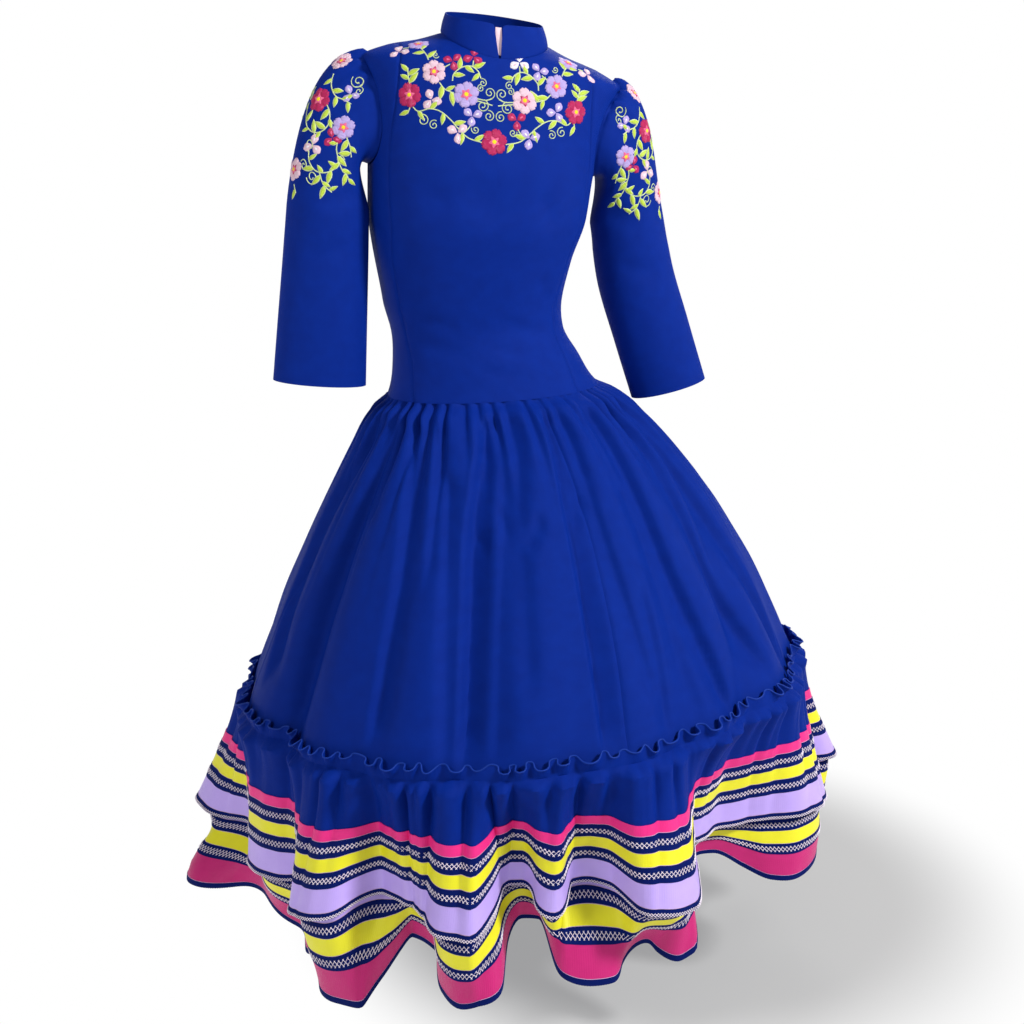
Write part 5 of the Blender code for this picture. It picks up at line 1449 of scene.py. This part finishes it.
def make_flounce_surfaces():
    """The fine surfaces of both flounces."""
    azimuth = all_round(UPPER_COLUMNS)
    downs = UPPER_LENGTH * np.linspace(0, 1, UPPER_RINGS + 1)**1.15
    grid = np.array(heading_grid(azimuth) + [upper_ring(azimuth, down) for down in downs])
    normals = grid_normals(grid, True)
    outer = grid + CLOTH * normals
    down_all = np.r_[-HEADING_HEIGHT * np.linspace(1, 0, HEADING_RINGS + 1)[:-1], downs]
    upper = Surface(azimuth, down_all, outer, normals)
    azimuth = all_round(LOWER_COLUMNS)
    downs = np.r_[np.linspace(0, LOWER_HIDDEN, LOWER_HIDDEN_RINGS + 1)[:-1],
                  np.linspace(LOWER_HIDDEN, LOWER_LENGTH, LOWER_RINGS + 1)]
    inner = np.array([lower_ring(azimuth, down) for down in downs])
    inner[0, :, 2] -= SEAM_STEP_IN * 2
    normals_lower = grid_normals(inner, True)
    lower = Surface(azimuth, downs, inner + CLOTH * normals_lower, normals_lower)
    return upper, lower


def flounce_piece(name, surface):
    """A flounce as a thin cloth whose outside is its fine surface."""
    outer, normals = surface.points[:, :-1], surface.normals[:, :-1]
    return cloth_shell(f"{name}_cloth", outer, outer - CLOTH * normals, True, "royal_blue")


def laid_strip(name, surface, top, bottom, lift, thickness, finish):
    """A strip laid on a flounce between two distances down it."""
    azimuth = all_round(RIBBON_COLUMNS_ROUND)
    downs = np.linspace(top, bottom, STRIP_ROWS)
    points, normals = surface.at(azimuth[None, :], downs[:, None])
    return cloth_shell(name, points + (lift + thickness) * normals, points + lift * normals, True, finish)


def make_ribbons(surfaces):
    """The six satin ribbons, each with a pale woven edge along one or both sides."""
    pieces = {}
    for row in named_rows(RIBBON_COLUMNS, RIBBON_ROWS):
        surface = surfaces[row["flounce"]]
        azimuth = np.linspace(-180, 180, 2 * RIBBON_COLUMNS_ROUND)
        downs = np.linspace(row["top"], row["bottom"], STRIP_ROWS)
        points, _ = surface.at(azimuth[None, :], downs[:, None])
        width = float(flat_lengths(points, False)[-1, 0, 1])
        FINISHES[row["name"]] = ribbon_finish(row["name"], row["finish"], width, row["edges"])
        pieces[row["name"]] = laid_strip(f"{row['name']}_satin", surface, row["top"], row["bottom"], LAID_GAP,
                                         SATIN, row["name"])
    return pieces


# Crisscross trims: flounce, top and bottom of the tape, height and pitch of the crossing threads
TRIM_COLUMNS = ("name", "flounce", "top", "bottom", "threads_top", "threads_bottom", "pitch")
TRIM_ROWS = (
    ("trim_upper_high", "upper", 0.1063, 0.1317, 0.1148, 0.1236, 0.0064),
    ("trim_upper_low", "upper", 0.1533, 0.1777, 0.1612, 0.17, 0.0064),
    ("trim_upper_hem", "upper", 0.2143, 0.2249, 0.2198, 0.2248, 0.0044),
    ("trim_lower_high", "lower", 0.2313, 0.2497, 0.2364, 0.2446, 0.0064),
    ("trim_lower_low", "lower", 0.2703, 0.2867, 0.2744, 0.2826, 0.0064),
    ("trim_lower_hem", "lower", 0.3213, 0.3299, 0.3262, 0.3262, 0.004),
)
TAPE = 0.0005
THREAD_WIDTH = 0.001
THREAD_HEIGHT = 0.0006
THREAD_STAND = 0.0005
# Corners of one thread's faces: three sides and two ends. A face that repeats its last corner is a triangle.
THREAD_FACES = np.array([(0, 1, 4, 3), (1, 2, 5, 4), (2, 0, 3, 5), (0, 2, 1, 1), (3, 4, 5, 5)])
THREAD_POINTS = 6


def make_crossing_threads(name, surface, top, bottom, pitch, lift, finish):
    """Slanting threads in two directions, all round a flounce. Each is a low three-sided prism."""
    azimuth, length = surface.by_length((top + bottom) / 2)
    count = int(length[-1] / pitch)
    pitch = length[-1] / count
    run = bottom - top
    along = np.array([0.0, 1.0])
    points = []
    for way in (1, -1):
        start = (np.arange(count) * pitch)[:, None]
        s = (start + way * run * (along - 0.5)[None, :]) % length[-1]
        down = top + run * along[None, :] + 0 * s
        here, normals = surface.at(np.interp(s, length, azimuth), down)
        ahead = unit(np.gradient(here, axis=1))
        across = unit(np.cross(normals, ahead))
        base = here + lift * normals
        ridge = base + THREAD_HEIGHT * normals
        sides = [base + across * THREAD_WIDTH / 2, ridge, base - across * THREAD_WIDTH / 2]
        points.append(np.stack(sides, axis=2).reshape(-1, 3))
    faces = (np.arange(2 * count)[:, None, None] * THREAD_POINTS + THREAD_FACES[None]).reshape(-1, 4)
    return faced_mesh(name, np.concatenate(points), faces, finish)


BEAD_RADIUS = 0.0011
BEAD_SIDES = 6
# Picots: a scallop has five points along its rim, in front and again at its back
PICOT_PITCH = 0.004
PICOT_REACH = 0.0017
PICOT_HALF_WIDTH = 0.45
PICOT_SUNK = 0.0003
PICOT_ROOT_ABOVE = 0.004
PICOT_HALF_THICKNESS = 0.0005
PICOT_RIM = 5
PICOT_FACES = np.array([(0, 1, 2, 3), (0, 3, 4, 4), (8, 7, 6, 5), (9, 8, 5, 5), (1, 0, 5, 6), (2, 1, 6, 7),
                        (3, 2, 7, 8), (4, 3, 8, 9), (0, 4, 9, 5)])


def make_bead(name, line, finish):
    """A rolled edge: a fine round cord along a closed line."""
    along = unit(np.roll(line, -1, axis=0) - np.roll(line, 1, axis=0))
    side = unit(np.cross(along, np.array([0, 0, 1.0])))
    up = np.cross(side, along)
    turn = 2 * np.pi * np.arange(BEAD_SIDES) / BEAD_SIDES
    rings = line[:, None] + BEAD_RADIUS * (np.cos(turn)[None, :, None] * side[:, None]
                                           + np.sin(turn)[None, :, None] * up[:, None])
    index = np.arange(len(line) * BEAD_SIDES).reshape(len(line), BEAD_SIDES)
    faces = cell_corners(np.concatenate([index, index[:1]]), True)[:, ::-1]
    return make_mesh(name, rings.reshape(-1, 3), faces, None, finish, 180)


def make_picots(name, surface, finish):
    """Tiny scallops along the lower edge of a flounce, all round it."""
    edge = surface.down[-1]
    azimuth, length = surface.by_length(edge)
    count = int(length[-1] / PICOT_PITCH)
    pitch = length[-1] / count
    turn = np.linspace(0, np.pi, PICOT_RIM)
    s = np.arange(count)[:, None] * pitch + pitch * PICOT_HALF_WIDTH * np.cos(turn)[None, :]
    at = np.interp(s % length[-1], length, azimuth)
    here, normals = surface.at(at, edge + 0 * s)
    above, _ = surface.at(at, edge - PICOT_ROOT_ABOVE + 0 * s)
    reach = (PICOT_REACH * np.sin(turn) - PICOT_SUNK)[None, :, None]
    middle = here + unit(here - above) * reach - normals * CLOTH * 0.5
    front, back = middle + PICOT_HALF_THICKNESS * normals, middle - PICOT_HALF_THICKNESS * normals
    points = np.concatenate([front, back], axis=1).reshape(-1, 3)
    faces = (np.arange(count)[:, None, None] * 2 * PICOT_RIM + PICOT_FACES[None]).reshape(-1, 4)
    return faced_mesh(name, points, faces, finish)


# Embroidery: satin-stitched flowers, leaves and curled stems, laid on the yoke and the sleeves

THREAD_PITCH = 0.0024
STEM_HALF_WIDTH = 0.00085
STEM_HEIGHT = 0.0007
STEM_RIM_HEIGHT = 0.0001
CURL_PITCH = 0.0016
CURL_HALF_WIDTH = 0.0007
CURL_WOUND_IN = 0.78
KNOT_RADIUS = 0.0011
# Leaves: length, angle to the stem in degrees, how much both vary, and how far a leaf bends
LEAF_LENGTH = 0.018
LEAF_LENGTH_VARIES = 0.0028
LEAF_ANGLE = 42
LEAF_ANGLE_VARIES = 9
LEAF_BEND = 0.18
# Stitches are laid on cloth found from this far above it, and reach this far into it
SEARCH_LIFT = 0.003
UNDER_CLOTH = 0.0003
YOKE_MIDDLE = -0.005
PETAL_ROWS = 6
PETAL_SPREAD = np.linspace(-1, 1, 5)

# Blossoms of half the yoke: out from the middle, level, reach, turn, then the colour on the right and on the left
YOKE_FLOWERS = (
    (0.12, -0.087, 0.0175, 8, "magenta", "magenta"),
    (0.088, -0.053, 0.017, 20, "pale_pink", "lilac"),
    (0.042, -0.078, 0.0185, 35, "lilac", "pale_pink"),
    (0.108, -0.02, 0.0155, 50, "lilac", "lilac"),
)
YOKE_BOTTOM_FLOWER = (0.0, -0.139, 0.0185, 18, "magenta")
YOKE_TRIPLES = (
    (0.136, -0.032, 0.014, 85, "pale_pink", "pale_pink"),
    (0.062, -0.035, 0.0125, 40, "magenta", "lilac"),
    (0.033, -0.026, 0.0135, 5, "magenta", "white"),
    (0.09, -0.09, 0.0135, 95, "pale_pink", "lilac"),
    (0.032, -0.106, 0.013, 65, "lilac", "magenta"),
    (0.052, -0.13, 0.014, 50, "pale_pink", "lilac"),
)
# Stems of half the yoke: the points that each runs through, and how many leaves it bears
YOKE_STEMS = (
    (((0.062, -0.062), (0.06, -0.052), (0.049, -0.042), (0.036, -0.039), (0.026, -0.045), (0.022, -0.054)), 5),
    (((0.08, -0.066), (0.072, -0.074), (0.059, -0.078)), 3),
    (((0.117, -0.099), (0.107, -0.107), (0.092, -0.102), (0.077, -0.104), (0.062, -0.114), (0.052, -0.124),
      (0.037, -0.136), (0.017, -0.141)), 6),
    (((0.12, -0.074), (0.123, -0.062), (0.124, -0.052)), 4),
    (((0.096, -0.038), (0.1, -0.03), (0.108, -0.022)), 3),
    (((0.122, -0.026), (0.13, -0.028)), 0),
    (((0.118, -0.102), (0.121, -0.112)), 1),
    (((0.032, -0.112), (0.036, -0.122), (0.044, -0.13)), 0),
    (((0.075, -0.046), (0.066, -0.04)), 0),
    (((0.034, -0.04), (0.033, -0.031)), 0),
    (((0.026, -0.082), (0.014, -0.083), (0.005, -0.08)), 0),
    (((0.026, -0.085), (0.014, -0.087), (0.004, -0.089)), 0),
)
# Curls of half the yoke: centre, radius, turns, where each starts in degrees, and its way round
YOKE_CURLS = (
    (0.018, -0.091, 0.0088, 1.5, 100, 1),
    (0.0088, -0.0725, 0.0082, 1.4, 260, -1),
    (0.0084, -0.104, 0.0078, 1.4, 80, 1),
    (0.019, -0.06, 0.006, 1.3, 60, 1),
    (0.0215, -0.0675, 0.0052, 1.3, 90, -1),
    (0.1, -0.118, 0.0078, 1.3, 80, 1),
    (0.085, -0.123, 0.0068, 1.3, 120, -1),
    (0.027, -0.124, 0.006, 1.3, 20, -1),
    (0.086, -0.03, 0.0048, 1.3, 200, 1),
)

# The same for half a sleeve: metres from the outer middle towards the front, and metres down
SLEEVE_FLOWERS = (
    (0.02, 0.022, 0.0175, 10, "pale_pink", "pale_pink"),
    (0.034, 0.062, 0.018, 30, "magenta", "magenta"),
    (0.086, 0.058, 0.017, 15, "lilac", "lilac"),
    (0.022, 0.138, 0.0165, 40, "pale_pink", "pale_pink"),
)
SLEEVE_TRIPLES = (
    (0.074, 0.08, 0.013, 60, "magenta", "magenta"),
    (0.048, 0.104, 0.0145, 20, "pale_pink", "pale_pink"),
    (0.07, 0.03, 0.012, 80, "lilac", "lilac"),
)
SLEEVE_STEMS = (
    (((0.032, 0.034), (0.04, 0.042), (0.054, 0.045), (0.066, 0.04), (0.08, 0.034)), 5),
    (((0.047, 0.058), (0.058, 0.062), (0.062, 0.072), (0.056, 0.084), (0.044, 0.092), (0.03, 0.092),
      (0.02, 0.084), (0.014, 0.074)), 8),
    (((0.062, 0.068), (0.07, 0.066), (0.076, 0.062)), 0),
    (((0.084, 0.072), (0.084, 0.086), (0.09, 0.098), (0.086, 0.112), (0.074, 0.124), (0.06, 0.128),
      (0.048, 0.122), (0.044, 0.112)), 7),
    (((0.09, 0.098), (0.098, 0.106), (0.106, 0.108), (0.112, 0.116)), 4),
    (((0.066, 0.128), (0.074, 0.14), (0.086, 0.146)), 4),
    (((0.096, 0.062), (0.106, 0.066), (0.112, 0.076)), 3),
    (((0.046, 0.092), (0.048, 0.1)), 0),
    (((0.026, 0.152), (0.032, 0.16)), 1),
)
SLEEVE_CURLS = (
    (0.062, 0.016, 0.0085, 1.4, 200, 1),
    (0.074, 0.02, 0.006, 1.3, 160, -1),
    (0.012, 0.066, 0.0075, 1.4, 90, 1),
    (0.044, 0.106, 0.007, 1.3, 270, -1),
    (0.056, 0.137, 0.009, 1.4, 200, 1),
    (0.04, 0.129, 0.0062, 1.3, 160, -1),
    (0.096, 0.092, 0.005, 1.3, 30, 1),
)
# The star inside a flower of each colour, and the loop inside a small blossom's petals
STAR_COLOURS = {"magenta": "pink", "pale_pink": "magenta", "lilac": "pink"}
LOOP_COLOURS = {"magenta": "pink", "white": "pale_pink", "pale_pink": "white", "lilac": "white"}


class Ground:
    """Cloth that stitches are laid on, by colour. A plan says where on the cloth a pair of lengths lies."""

    def __init__(self, pieces, plan, stitches):
        points, faces = [], []
        for piece in pieces:
            first = len(points)
            points += [tuple(vertex.co) for vertex in piece.data.vertices]
            faces += [[first + corner for corner in face.vertices] for face in piece.data.polygons]
        self.tree = BVHTree.FromPolygons(points, faces)
        self.plan, self.stitches = plan, stitches

    def snap(self, points, heights):
        """Points brought to the cloth and raised by their heights."""
        laid = np.empty_like(points)
        for k, point in enumerate(points):
            place, normal, _, _ = self.tree.find_nearest(Vector(point))
            laid[k] = np.array(place) + heights[k] * np.array(normal)
        return laid

    def spot(self, a, b):
        """A place on the cloth, with the directions along a and up there, and away from the cloth."""
        here, normal = self.plan(a, b)
        ahead, _ = self.plan(a + 0.002, b)
        right = unit(ahead - here)
        up = unit(np.cross(normal, right))
        return here, right, up if up[2] > 0 else -up, normal

    def lay(self, colour, points, heights):
        """Lays a raised patch of stitches, from a grid of points near the cloth and their heights."""
        flat_points = points.reshape(-1, 3)
        outer = self.snap(flat_points, heights.ravel())
        inner = self.snap(flat_points, np.full(len(flat_points), -UNDER_CLOTH))
        quads = cell_corners(np.arange(len(flat_points)).reshape(points.shape[:2]))
        flat = flat_lengths(points, False).reshape(-1, 2)
        self.stitches.setdefault(colour, []).append((outer, inner, quads, flat))


def make_stitches(stitches):
    """One piece for each colour of stitches."""
    pieces = {}
    for colour, parts in stitches.items():
        starts = np.cumsum([0] + [len(part[0]) for part in parts[:-1]])
        outer, inner, flat = (np.concatenate([part[k] for part in parts]) for k in (0, 1, 3))
        quads = np.concatenate([part[2] + start for part, start in zip(parts, starts)])
        pieces[colour] = shell(f"embroidery_{colour}", outer, inner, quads, flat, quads, f"{colour}_thread", 80)
    return pieces


def petal_width(share):
    """Half the width of a round petal along its length, as a share of its widest."""
    base = 0.3 + 0.7 * ease(share / 0.6)
    tip = np.sqrt(np.clip(1 - ((share - 0.6) / 0.4)**2, 0, 1))
    return np.where(share < 0.6, base, tip)


def leaf_width(share):
    """Half the width of a pointed leaf along its length."""
    return np.sin(np.pi * share**0.8)**0.9


def drop_width(share):
    """Half the width of a small drop-shaped petal along its length."""
    return np.sin(np.pi * share**1.3)**0.7


def lay_petal(ground, spot, colour, start, length, width, angle, shape, height,
              lift=0.0, bend=0.0, notch=0.0):
    """A raised petal or leaf that leaves a place at an angle, measured from the cloth's own right."""
    here, right, up, normal = spot
    share = np.linspace(0.02, 0.98, PETAL_ROWS)[:, None]
    spread = PETAL_SPREAD[None, :]
    along = start + length * share - notch * np.exp(-(spread / 0.35)**2) * share**6
    across = width / 2 * shape(share) * spread + bend * length * share**2
    way = np.cos(angle) * right + np.sin(angle) * up
    side = -np.sin(angle) * right + np.cos(angle) * up
    points = here + along[..., None] * way + across[..., None] * side + SEARCH_LIFT * normal
    raised = lift + height * np.sqrt(np.clip(1 - spread**2, 0, 1)) * np.sqrt(np.clip(4 * share * (1 - share), 0.1, 1))
    ground.lay(colour, points, raised)


def lay_flower(ground, a, b, reach, turn, colour):
    """A flower of six round petals with a star and a yellow eye."""
    spot = ground.spot(a, b)
    star = STAR_COLOURS[colour]
    for k in range(6):
        angle = math.radians(turn + 60 * k)
        lay_petal(ground, spot, colour, 0.1 * reach, 0.96 * reach, 0.86 * reach, angle, petal_width,
                  0.001, 0.0002 + 0.0002 * (k % 2), notch=0.12 * reach)
    for k in range(5):
        angle = math.radians(turn + 30 + 72 * k)
        lay_petal(ground, spot, star, 0, 0.5 * reach, 0.3 * reach, angle, leaf_width, 0.0006, 0.001)
        lay_petal(ground, spot, "pink", 0, 0.34 * reach, 0.34 * reach, angle, drop_width, 0.0006, 0.0013)
    for k in range(3):
        lay_petal(ground, spot, "yellow", -0.2 * reach, 0.4 * reach, 0.34 * reach,
                  math.radians(60 * k + turn), drop_width, 0.0007, 0.0016)


def lay_triple(ground, a, b, reach, turn, colour):
    """A small blossom of three drop-shaped petals, each with a paler loop inside."""
    spot = ground.spot(a, b)
    for k in range(3):
        angle = math.radians(turn + 120 * k)
        lay_petal(ground, spot, colour, 0.03 * reach, 1.15 * reach, 0.92 * reach, angle, drop_width, 0.0009)
        lay_petal(ground, spot, LOOP_COLOURS[colour], 0.35 * reach, 0.45 * reach, 0.22 * reach, angle,
                  drop_width, 0.0004, 0.0008)


def lay_leaf(ground, a, b, length, angle, bend):
    """A lime leaf on a slightly larger pale green one."""
    spot = ground.spot(a, b)
    lay_petal(ground, spot, "pale_green", 0, length, 0.44 * length, angle, leaf_width, 0.0007, bend=bend)
    lay_petal(ground, spot, "lime", 0.06 * length, 0.86 * length, 0.29 * length, angle, leaf_width,
              0.0005, 0.0005, bend)


def smooth_path(points, step):
    """A smooth line through points, at about equal steps."""
    points = np.array(points, float)
    ends = np.concatenate([[2 * points[0] - points[1]], points, [2 * points[-1] - points[-2]]])
    path = []
    for k in range(len(points) - 1):
        p0, p1, p2, p3 = ends[k:k + 4]
        t = np.linspace(0, 1, 24, endpoint=False)[:, None]
        path.append(0.5 * (2 * p1 + (p2 - p0) * t + (2 * p0 - 5 * p1 + 4 * p2 - p3) * t**2
                           + (3 * p1 - p0 - 3 * p2 + p3) * t**3))
    path = np.concatenate(path + [points[-1:]])
    length = lengths_along(path)
    at = np.linspace(0, length[-1], max(3, int(length[-1] / step) + 1))
    return np.stack([np.interp(at, length, path[:, 0]), np.interp(at, length, path[:, 1])], axis=1)


def lay_line(ground, path, half_width):
    """A raised line of pale green stitches along a path."""
    places = [ground.plan(a, b) for a, b in path]
    line = np.array([place for place, _ in places])
    normals = np.array([normal for _, normal in places])
    along = np.gradient(line, axis=0)
    across = unit(np.cross(normals, along))
    offsets = np.array([-1.0, 0.0, 1.0])[None, :, None] * half_width
    points = line[:, None] + offsets * across[:, None] + SEARCH_LIFT * normals[:, None]
    heights = np.broadcast_to(np.array([STEM_RIM_HEIGHT, STEM_HEIGHT, STEM_RIM_HEIGHT]), points.shape[:2])
    ground.lay("pale_green", points, heights)


def lay_stem(ground, points, leaves, mirror, upward):
    """A stem with leaves that leave it on both sides in turn."""
    path = smooth_path([(mirror * a, b) for a, b in points], THREAD_PITCH)
    lay_line(ground, path, STEM_HALF_WIDTH)
    for k in range(leaves):
        at = (k + 0.7) / (leaves + 0.3) * (len(path) - 1)
        i = min(int(at), len(path) - 2)
        way = (path[i + 1] - path[i]) * np.array([1, upward])
        side = 1 if k % 2 else -1
        leaving = math.radians(LEAF_ANGLE + LEAF_ANGLE_VARIES * math.sin(5 * k + len(path)))
        angle = math.atan2(way[1], way[0]) + side * leaving
        length = LEAF_LENGTH + LEAF_LENGTH_VARIES * math.sin(3 * k + 7 * len(path))
        lay_leaf(ground, path[i][0], path[i][1], length, angle, LEAF_BEND * side)


def lay_curl(ground, a, b, radius, turns, start, way, mirror, upward):
    """A curled tendril that winds in to its centre, with a small knot at its end."""
    t = np.linspace(0, 1, 40)
    angle = np.radians(start) + way * 2 * np.pi * turns * t
    reach = radius * (1 - CURL_WOUND_IN * t)
    path = np.stack([mirror * (a + reach * np.cos(angle)), b + upward * reach * np.sin(angle)], axis=1)
    lay_line(ground, smooth_path(path, CURL_PITCH), CURL_HALF_WIDTH)
    lay_petal(ground, ground.spot(path[-1][0], path[-1][1]), "pale_green", -KNOT_RADIUS, 2 * KNOT_RADIUS,
              2 * KNOT_RADIUS, 0.0, drop_width, 0.0006)


def lay_garland(ground, flowers, triples, stems, curls, upward):
    """A half design and its mirror image, each in its own colours."""
    for mirror in (-1, 1):
        colour_at = 4 if mirror < 0 else 5
        for points, leaves in stems:
            lay_stem(ground, points, leaves, mirror, upward)
        for a, b, radius, turns, start, way in curls:
            lay_curl(ground, a, b, radius, turns, start, way, mirror, upward)
        for row in triples:
            lay_triple(ground, mirror * row[0], row[1], row[2], mirror * row[3] + 90, row[colour_at])
        for row in flowers:
            lay_flower(ground, mirror * row[0], row[1], row[2], mirror * row[3], row[colour_at])


def yoke_plan(a, level):
    """A place of the front yoke, worn, from metres out from the middle and a level."""
    out = a + YOKE_MIDDLE
    side = 1 if out >= 0 else -1
    angle = angle_at(abs(out), level)
    point, normal = section_point(angle, level), section_normal(angle, level)
    flip = np.array([side, 1, 1])
    here = stance((point + CLOTH * normal) * flip)
    ahead = stance((point + (CLOTH + 0.001) * normal) * flip)
    return here, unit(ahead - here)


def sleeve_plan(surface):
    """Places of a sleeve, from metres round from its outer middle towards the front and metres down."""
    rounds = np.linalg.norm(np.diff(surface.points, axis=1), axis=-1).sum(axis=1)

    def plan(a, down):
        azimuth = 180 - 360 * a / np.interp(down, surface.down, rounds)
        point, normal = surface.at(np.array([azimuth]), np.array([down]))
        return point[0], normal[0]

    return plan


def make_embroidery(bodice, sleeves, surfaces):
    """The garland of the yoke and those of both sleeves."""
    stitches = {}
    yoke = Ground(bodice, yoke_plan, stitches)
    lay_garland(yoke, YOKE_FLOWERS, YOKE_TRIPLES, YOKE_STEMS, YOKE_CURLS, 1)
    lay_flower(yoke, *YOKE_BOTTOM_FLOWER)
    for name in ("left", "right"):
        ground = Ground([sleeves[f"sleeve_{name}"]], sleeve_plan(surfaces[name]), stitches)
        lay_garland(ground, SLEEVE_FLOWERS, SLEEVE_TRIPLES, SLEEVE_STEMS, SLEEVE_CURLS, -1)
    for colour, piece in make_stitches(stitches).items():
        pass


# Putting the dress together

def stand_for(pieces):
    """Hides the solid that each piece stands for."""
    for node, piece in pieces.items():
        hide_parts(node)


def make_dress():
    """All the pieces of the dress."""
    bodice = make_bodice()
    collar = make_collar()
    stand_for(bodice)
    stand_for({name: collar[name] for name in ("collar_left", "collar_right")})
    stand_for({"collar_underlap": collar["collar_underlap"]})
    sleeves, sleeve_surfaces = {}, {}
    for (side, name), rows in zip(SIDES, (SLEEVE_LEFT, SLEEVE_RIGHT)):
        node = f"sleeve_{name}"
        sleeves[node], sleeve_surfaces[name] = make_sleeve(side, rows, **SLEEVE_CAPS[name], name=node)
    stand_for(sleeves)
    fronts = [bodice[name] for name in ("bodice_front", "bodice_side_front_left", "bodice_side_front_right")]
    make_embroidery(fronts, sleeves, sleeve_surfaces)
    stand_for(make_skirt())
    upper, lower = make_flounce_surfaces()
    surfaces = {"upper": upper, "lower": lower}
    stand_for({f"flounce_{name}": flounce_piece(f"flounce_{name}", surface)
               for name, surface in surfaces.items()})
    ribbons = make_ribbons(surfaces)
    for row in named_rows(RIBBON_COLUMNS, RIBBON_ROWS):
        stand_for({row["name"]: ribbons[row["name"]]})
    for row in named_rows(TRIM_COLUMNS, TRIM_ROWS):
        surface = surfaces[row["flounce"]]
        tape = laid_strip(f"{row['name']}_tape", surface, row["top"], row["bottom"], LAID_GAP + SATIN, TAPE,
                          "navy_tape")
        if row["threads_bottom"] > row["threads_top"]:
            threads = make_crossing_threads(f"{row['name']}_threads", surface, row["threads_top"],
                                            row["threads_bottom"], row["pitch"],
                                            LAID_GAP + SATIN + TAPE + THREAD_STAND, "pale_thread")
    make_bead("frill_rolled_edge", upper.points[0, :-1], "blue_thread")
    make_picots("hem_picots", lower, "navy_tape")


# Studio

FLOOR_LEVEL = -1.447
CAMERA_DISTANCE = 2.6
CAMERA_X = 0.027
CAMERA_DIP = 15.5
LENS = 59.77
SENSOR_WIDTH = 36.0
CLIP_END = 200.0

# Lamps: name, place, size across and power in watts
LAMPS = (
    ("key", (2.9, -1.7, 2.0), 0.7, 190),
    ("side", (-2.4, -2.4, 1.6), 0.8, 42),
    ("back", (0.8, 3.0, 1.6), 1.5, 40),
)
LAMP_AIM = (0.0, 0.0, -0.7)
ROOM_LIGHT = 0.3
ROOM_WHITE = 1.0


def light_room(scene):
    """White all round, which lights the dress less than it shows, so that folds keep their shade."""
    world = bpy.data.worlds.new("studio")
    scene.world = world
    world.use_nodes = True
    tree = world.node_tree
    back = tree.nodes["Background"]
    back.inputs["Color"].default_value = (1, 1, 1, 1)
    path = tree.nodes.new("ShaderNodeLightPath")
    strength = tree.nodes.new("ShaderNodeMix")
    set_inputs(strength, {"A": ROOM_LIGHT, "B": ROOM_WHITE})
    tree.links.new(path.outputs["Is Camera Ray"], strength.inputs["Factor"])
    tree.links.new(strength.outputs["Result"], back.inputs["Strength"])


FLOOR_HALF = 30.0
# Painted shadow on the floor: round a middle right of and behind the dress the floor is grey with a weak glow that
# also lifts real shadows, and between the fade's two distances it turns into glowing white
FLOOR_PAINTED_SHADOW_GREY = 0.22
FLOOR_GLOW = 0.34
FLOOR_PAINTED_SHADOW_FADE = (0.38, 0.68)
FLOOR_PAINTED_SHADOW_MIDDLE = (0.3, 0.12)


def paint_floor_shadow(tree, shader):
    """A pale floor with a painted grey shadow pool near the dress, whose weak glow also lifts the real shadows there,
    turning into glowing white further out.
    """
    place = tree.nodes.new("ShaderNodeTexCoord")
    distance = tree.nodes.new("ShaderNodeVectorMath")
    distance.operation = "DISTANCE"
    distance.inputs[1].default_value = (*FLOOR_PAINTED_SHADOW_MIDDLE, FLOOR_LEVEL)
    tree.links.new(place.outputs["Object"], distance.inputs[0])
    share = tree.nodes.new("ShaderNodeMapRange")
    share.interpolation_type = "SMOOTHSTEP"
    share.inputs["From Min"].default_value, share.inputs["From Max"].default_value = FLOOR_PAINTED_SHADOW_FADE
    tree.links.new(distance.outputs["Value"], share.inputs["Value"])
    for socket, near, far in (("Base Color", FLOOR_PAINTED_SHADOW_GREY, 0.0), ("Emission Color", FLOOR_GLOW, 1.0)):
        mixed = mix_colours(tree, share.outputs["Result"], (near,) * 3, (far,) * 3)
        tree.links.new(mixed, shader.inputs[socket])
    shader.inputs["Emission Strength"].default_value = 1.0


def make_studio():
    """A pale floor with a painted shadow pool, soft light and the camera."""
    scene = bpy.context.scene
    scene.view_settings.view_transform = "Standard"
    floor_finish = bpy.data.materials.new("pale_floor_painted_shadow")
    floor_finish.use_nodes = True
    shader = floor_finish.node_tree.nodes["Principled BSDF"]
    paint_floor_shadow(floor_finish.node_tree, shader)
    set_inputs(shader, {"Roughness": 1.0, "Specular IOR Level": 0.0})
    mesh = bpy.data.meshes.new("floor")
    corners = [(x * FLOOR_HALF, y * FLOOR_HALF, FLOOR_LEVEL) for x, y in ((-1, -1), (1, -1), (1, 1), (-1, 1))]
    mesh.from_pydata(corners, [], [(0, 1, 2, 3)])
    mesh.materials.append(floor_finish)
    floor = bpy.data.objects.new("floor", mesh)
    scene.collection.objects.link(floor)
    light_room(scene)
    for name, place, size, power in LAMPS:
        lamp = bpy.data.lights.new(name, "AREA")
        lamp.shape, lamp.size, lamp.energy = "DISK", size, power
        light = bpy.data.objects.new(name, lamp)
        light.location = place
        way = Vector(LAMP_AIM) - Vector(place)
        light.rotation_euler = way.to_track_quat("-Z", "Y").to_euler()
        scene.collection.objects.link(light)
    lens = bpy.data.cameras.new("camera")
    lens.lens, lens.sensor_width, lens.clip_end = LENS, SENSOR_WIDTH, CLIP_END
    camera = bpy.data.objects.new("camera", lens)
    camera.location = (CAMERA_X, -CAMERA_DISTANCE, 0.0)
    camera.rotation_euler = (math.radians(90 - CAMERA_DIP), 0, 0)
    scene.collection.objects.link(camera)
    scene.camera = camera


make_studio()
make_dress()
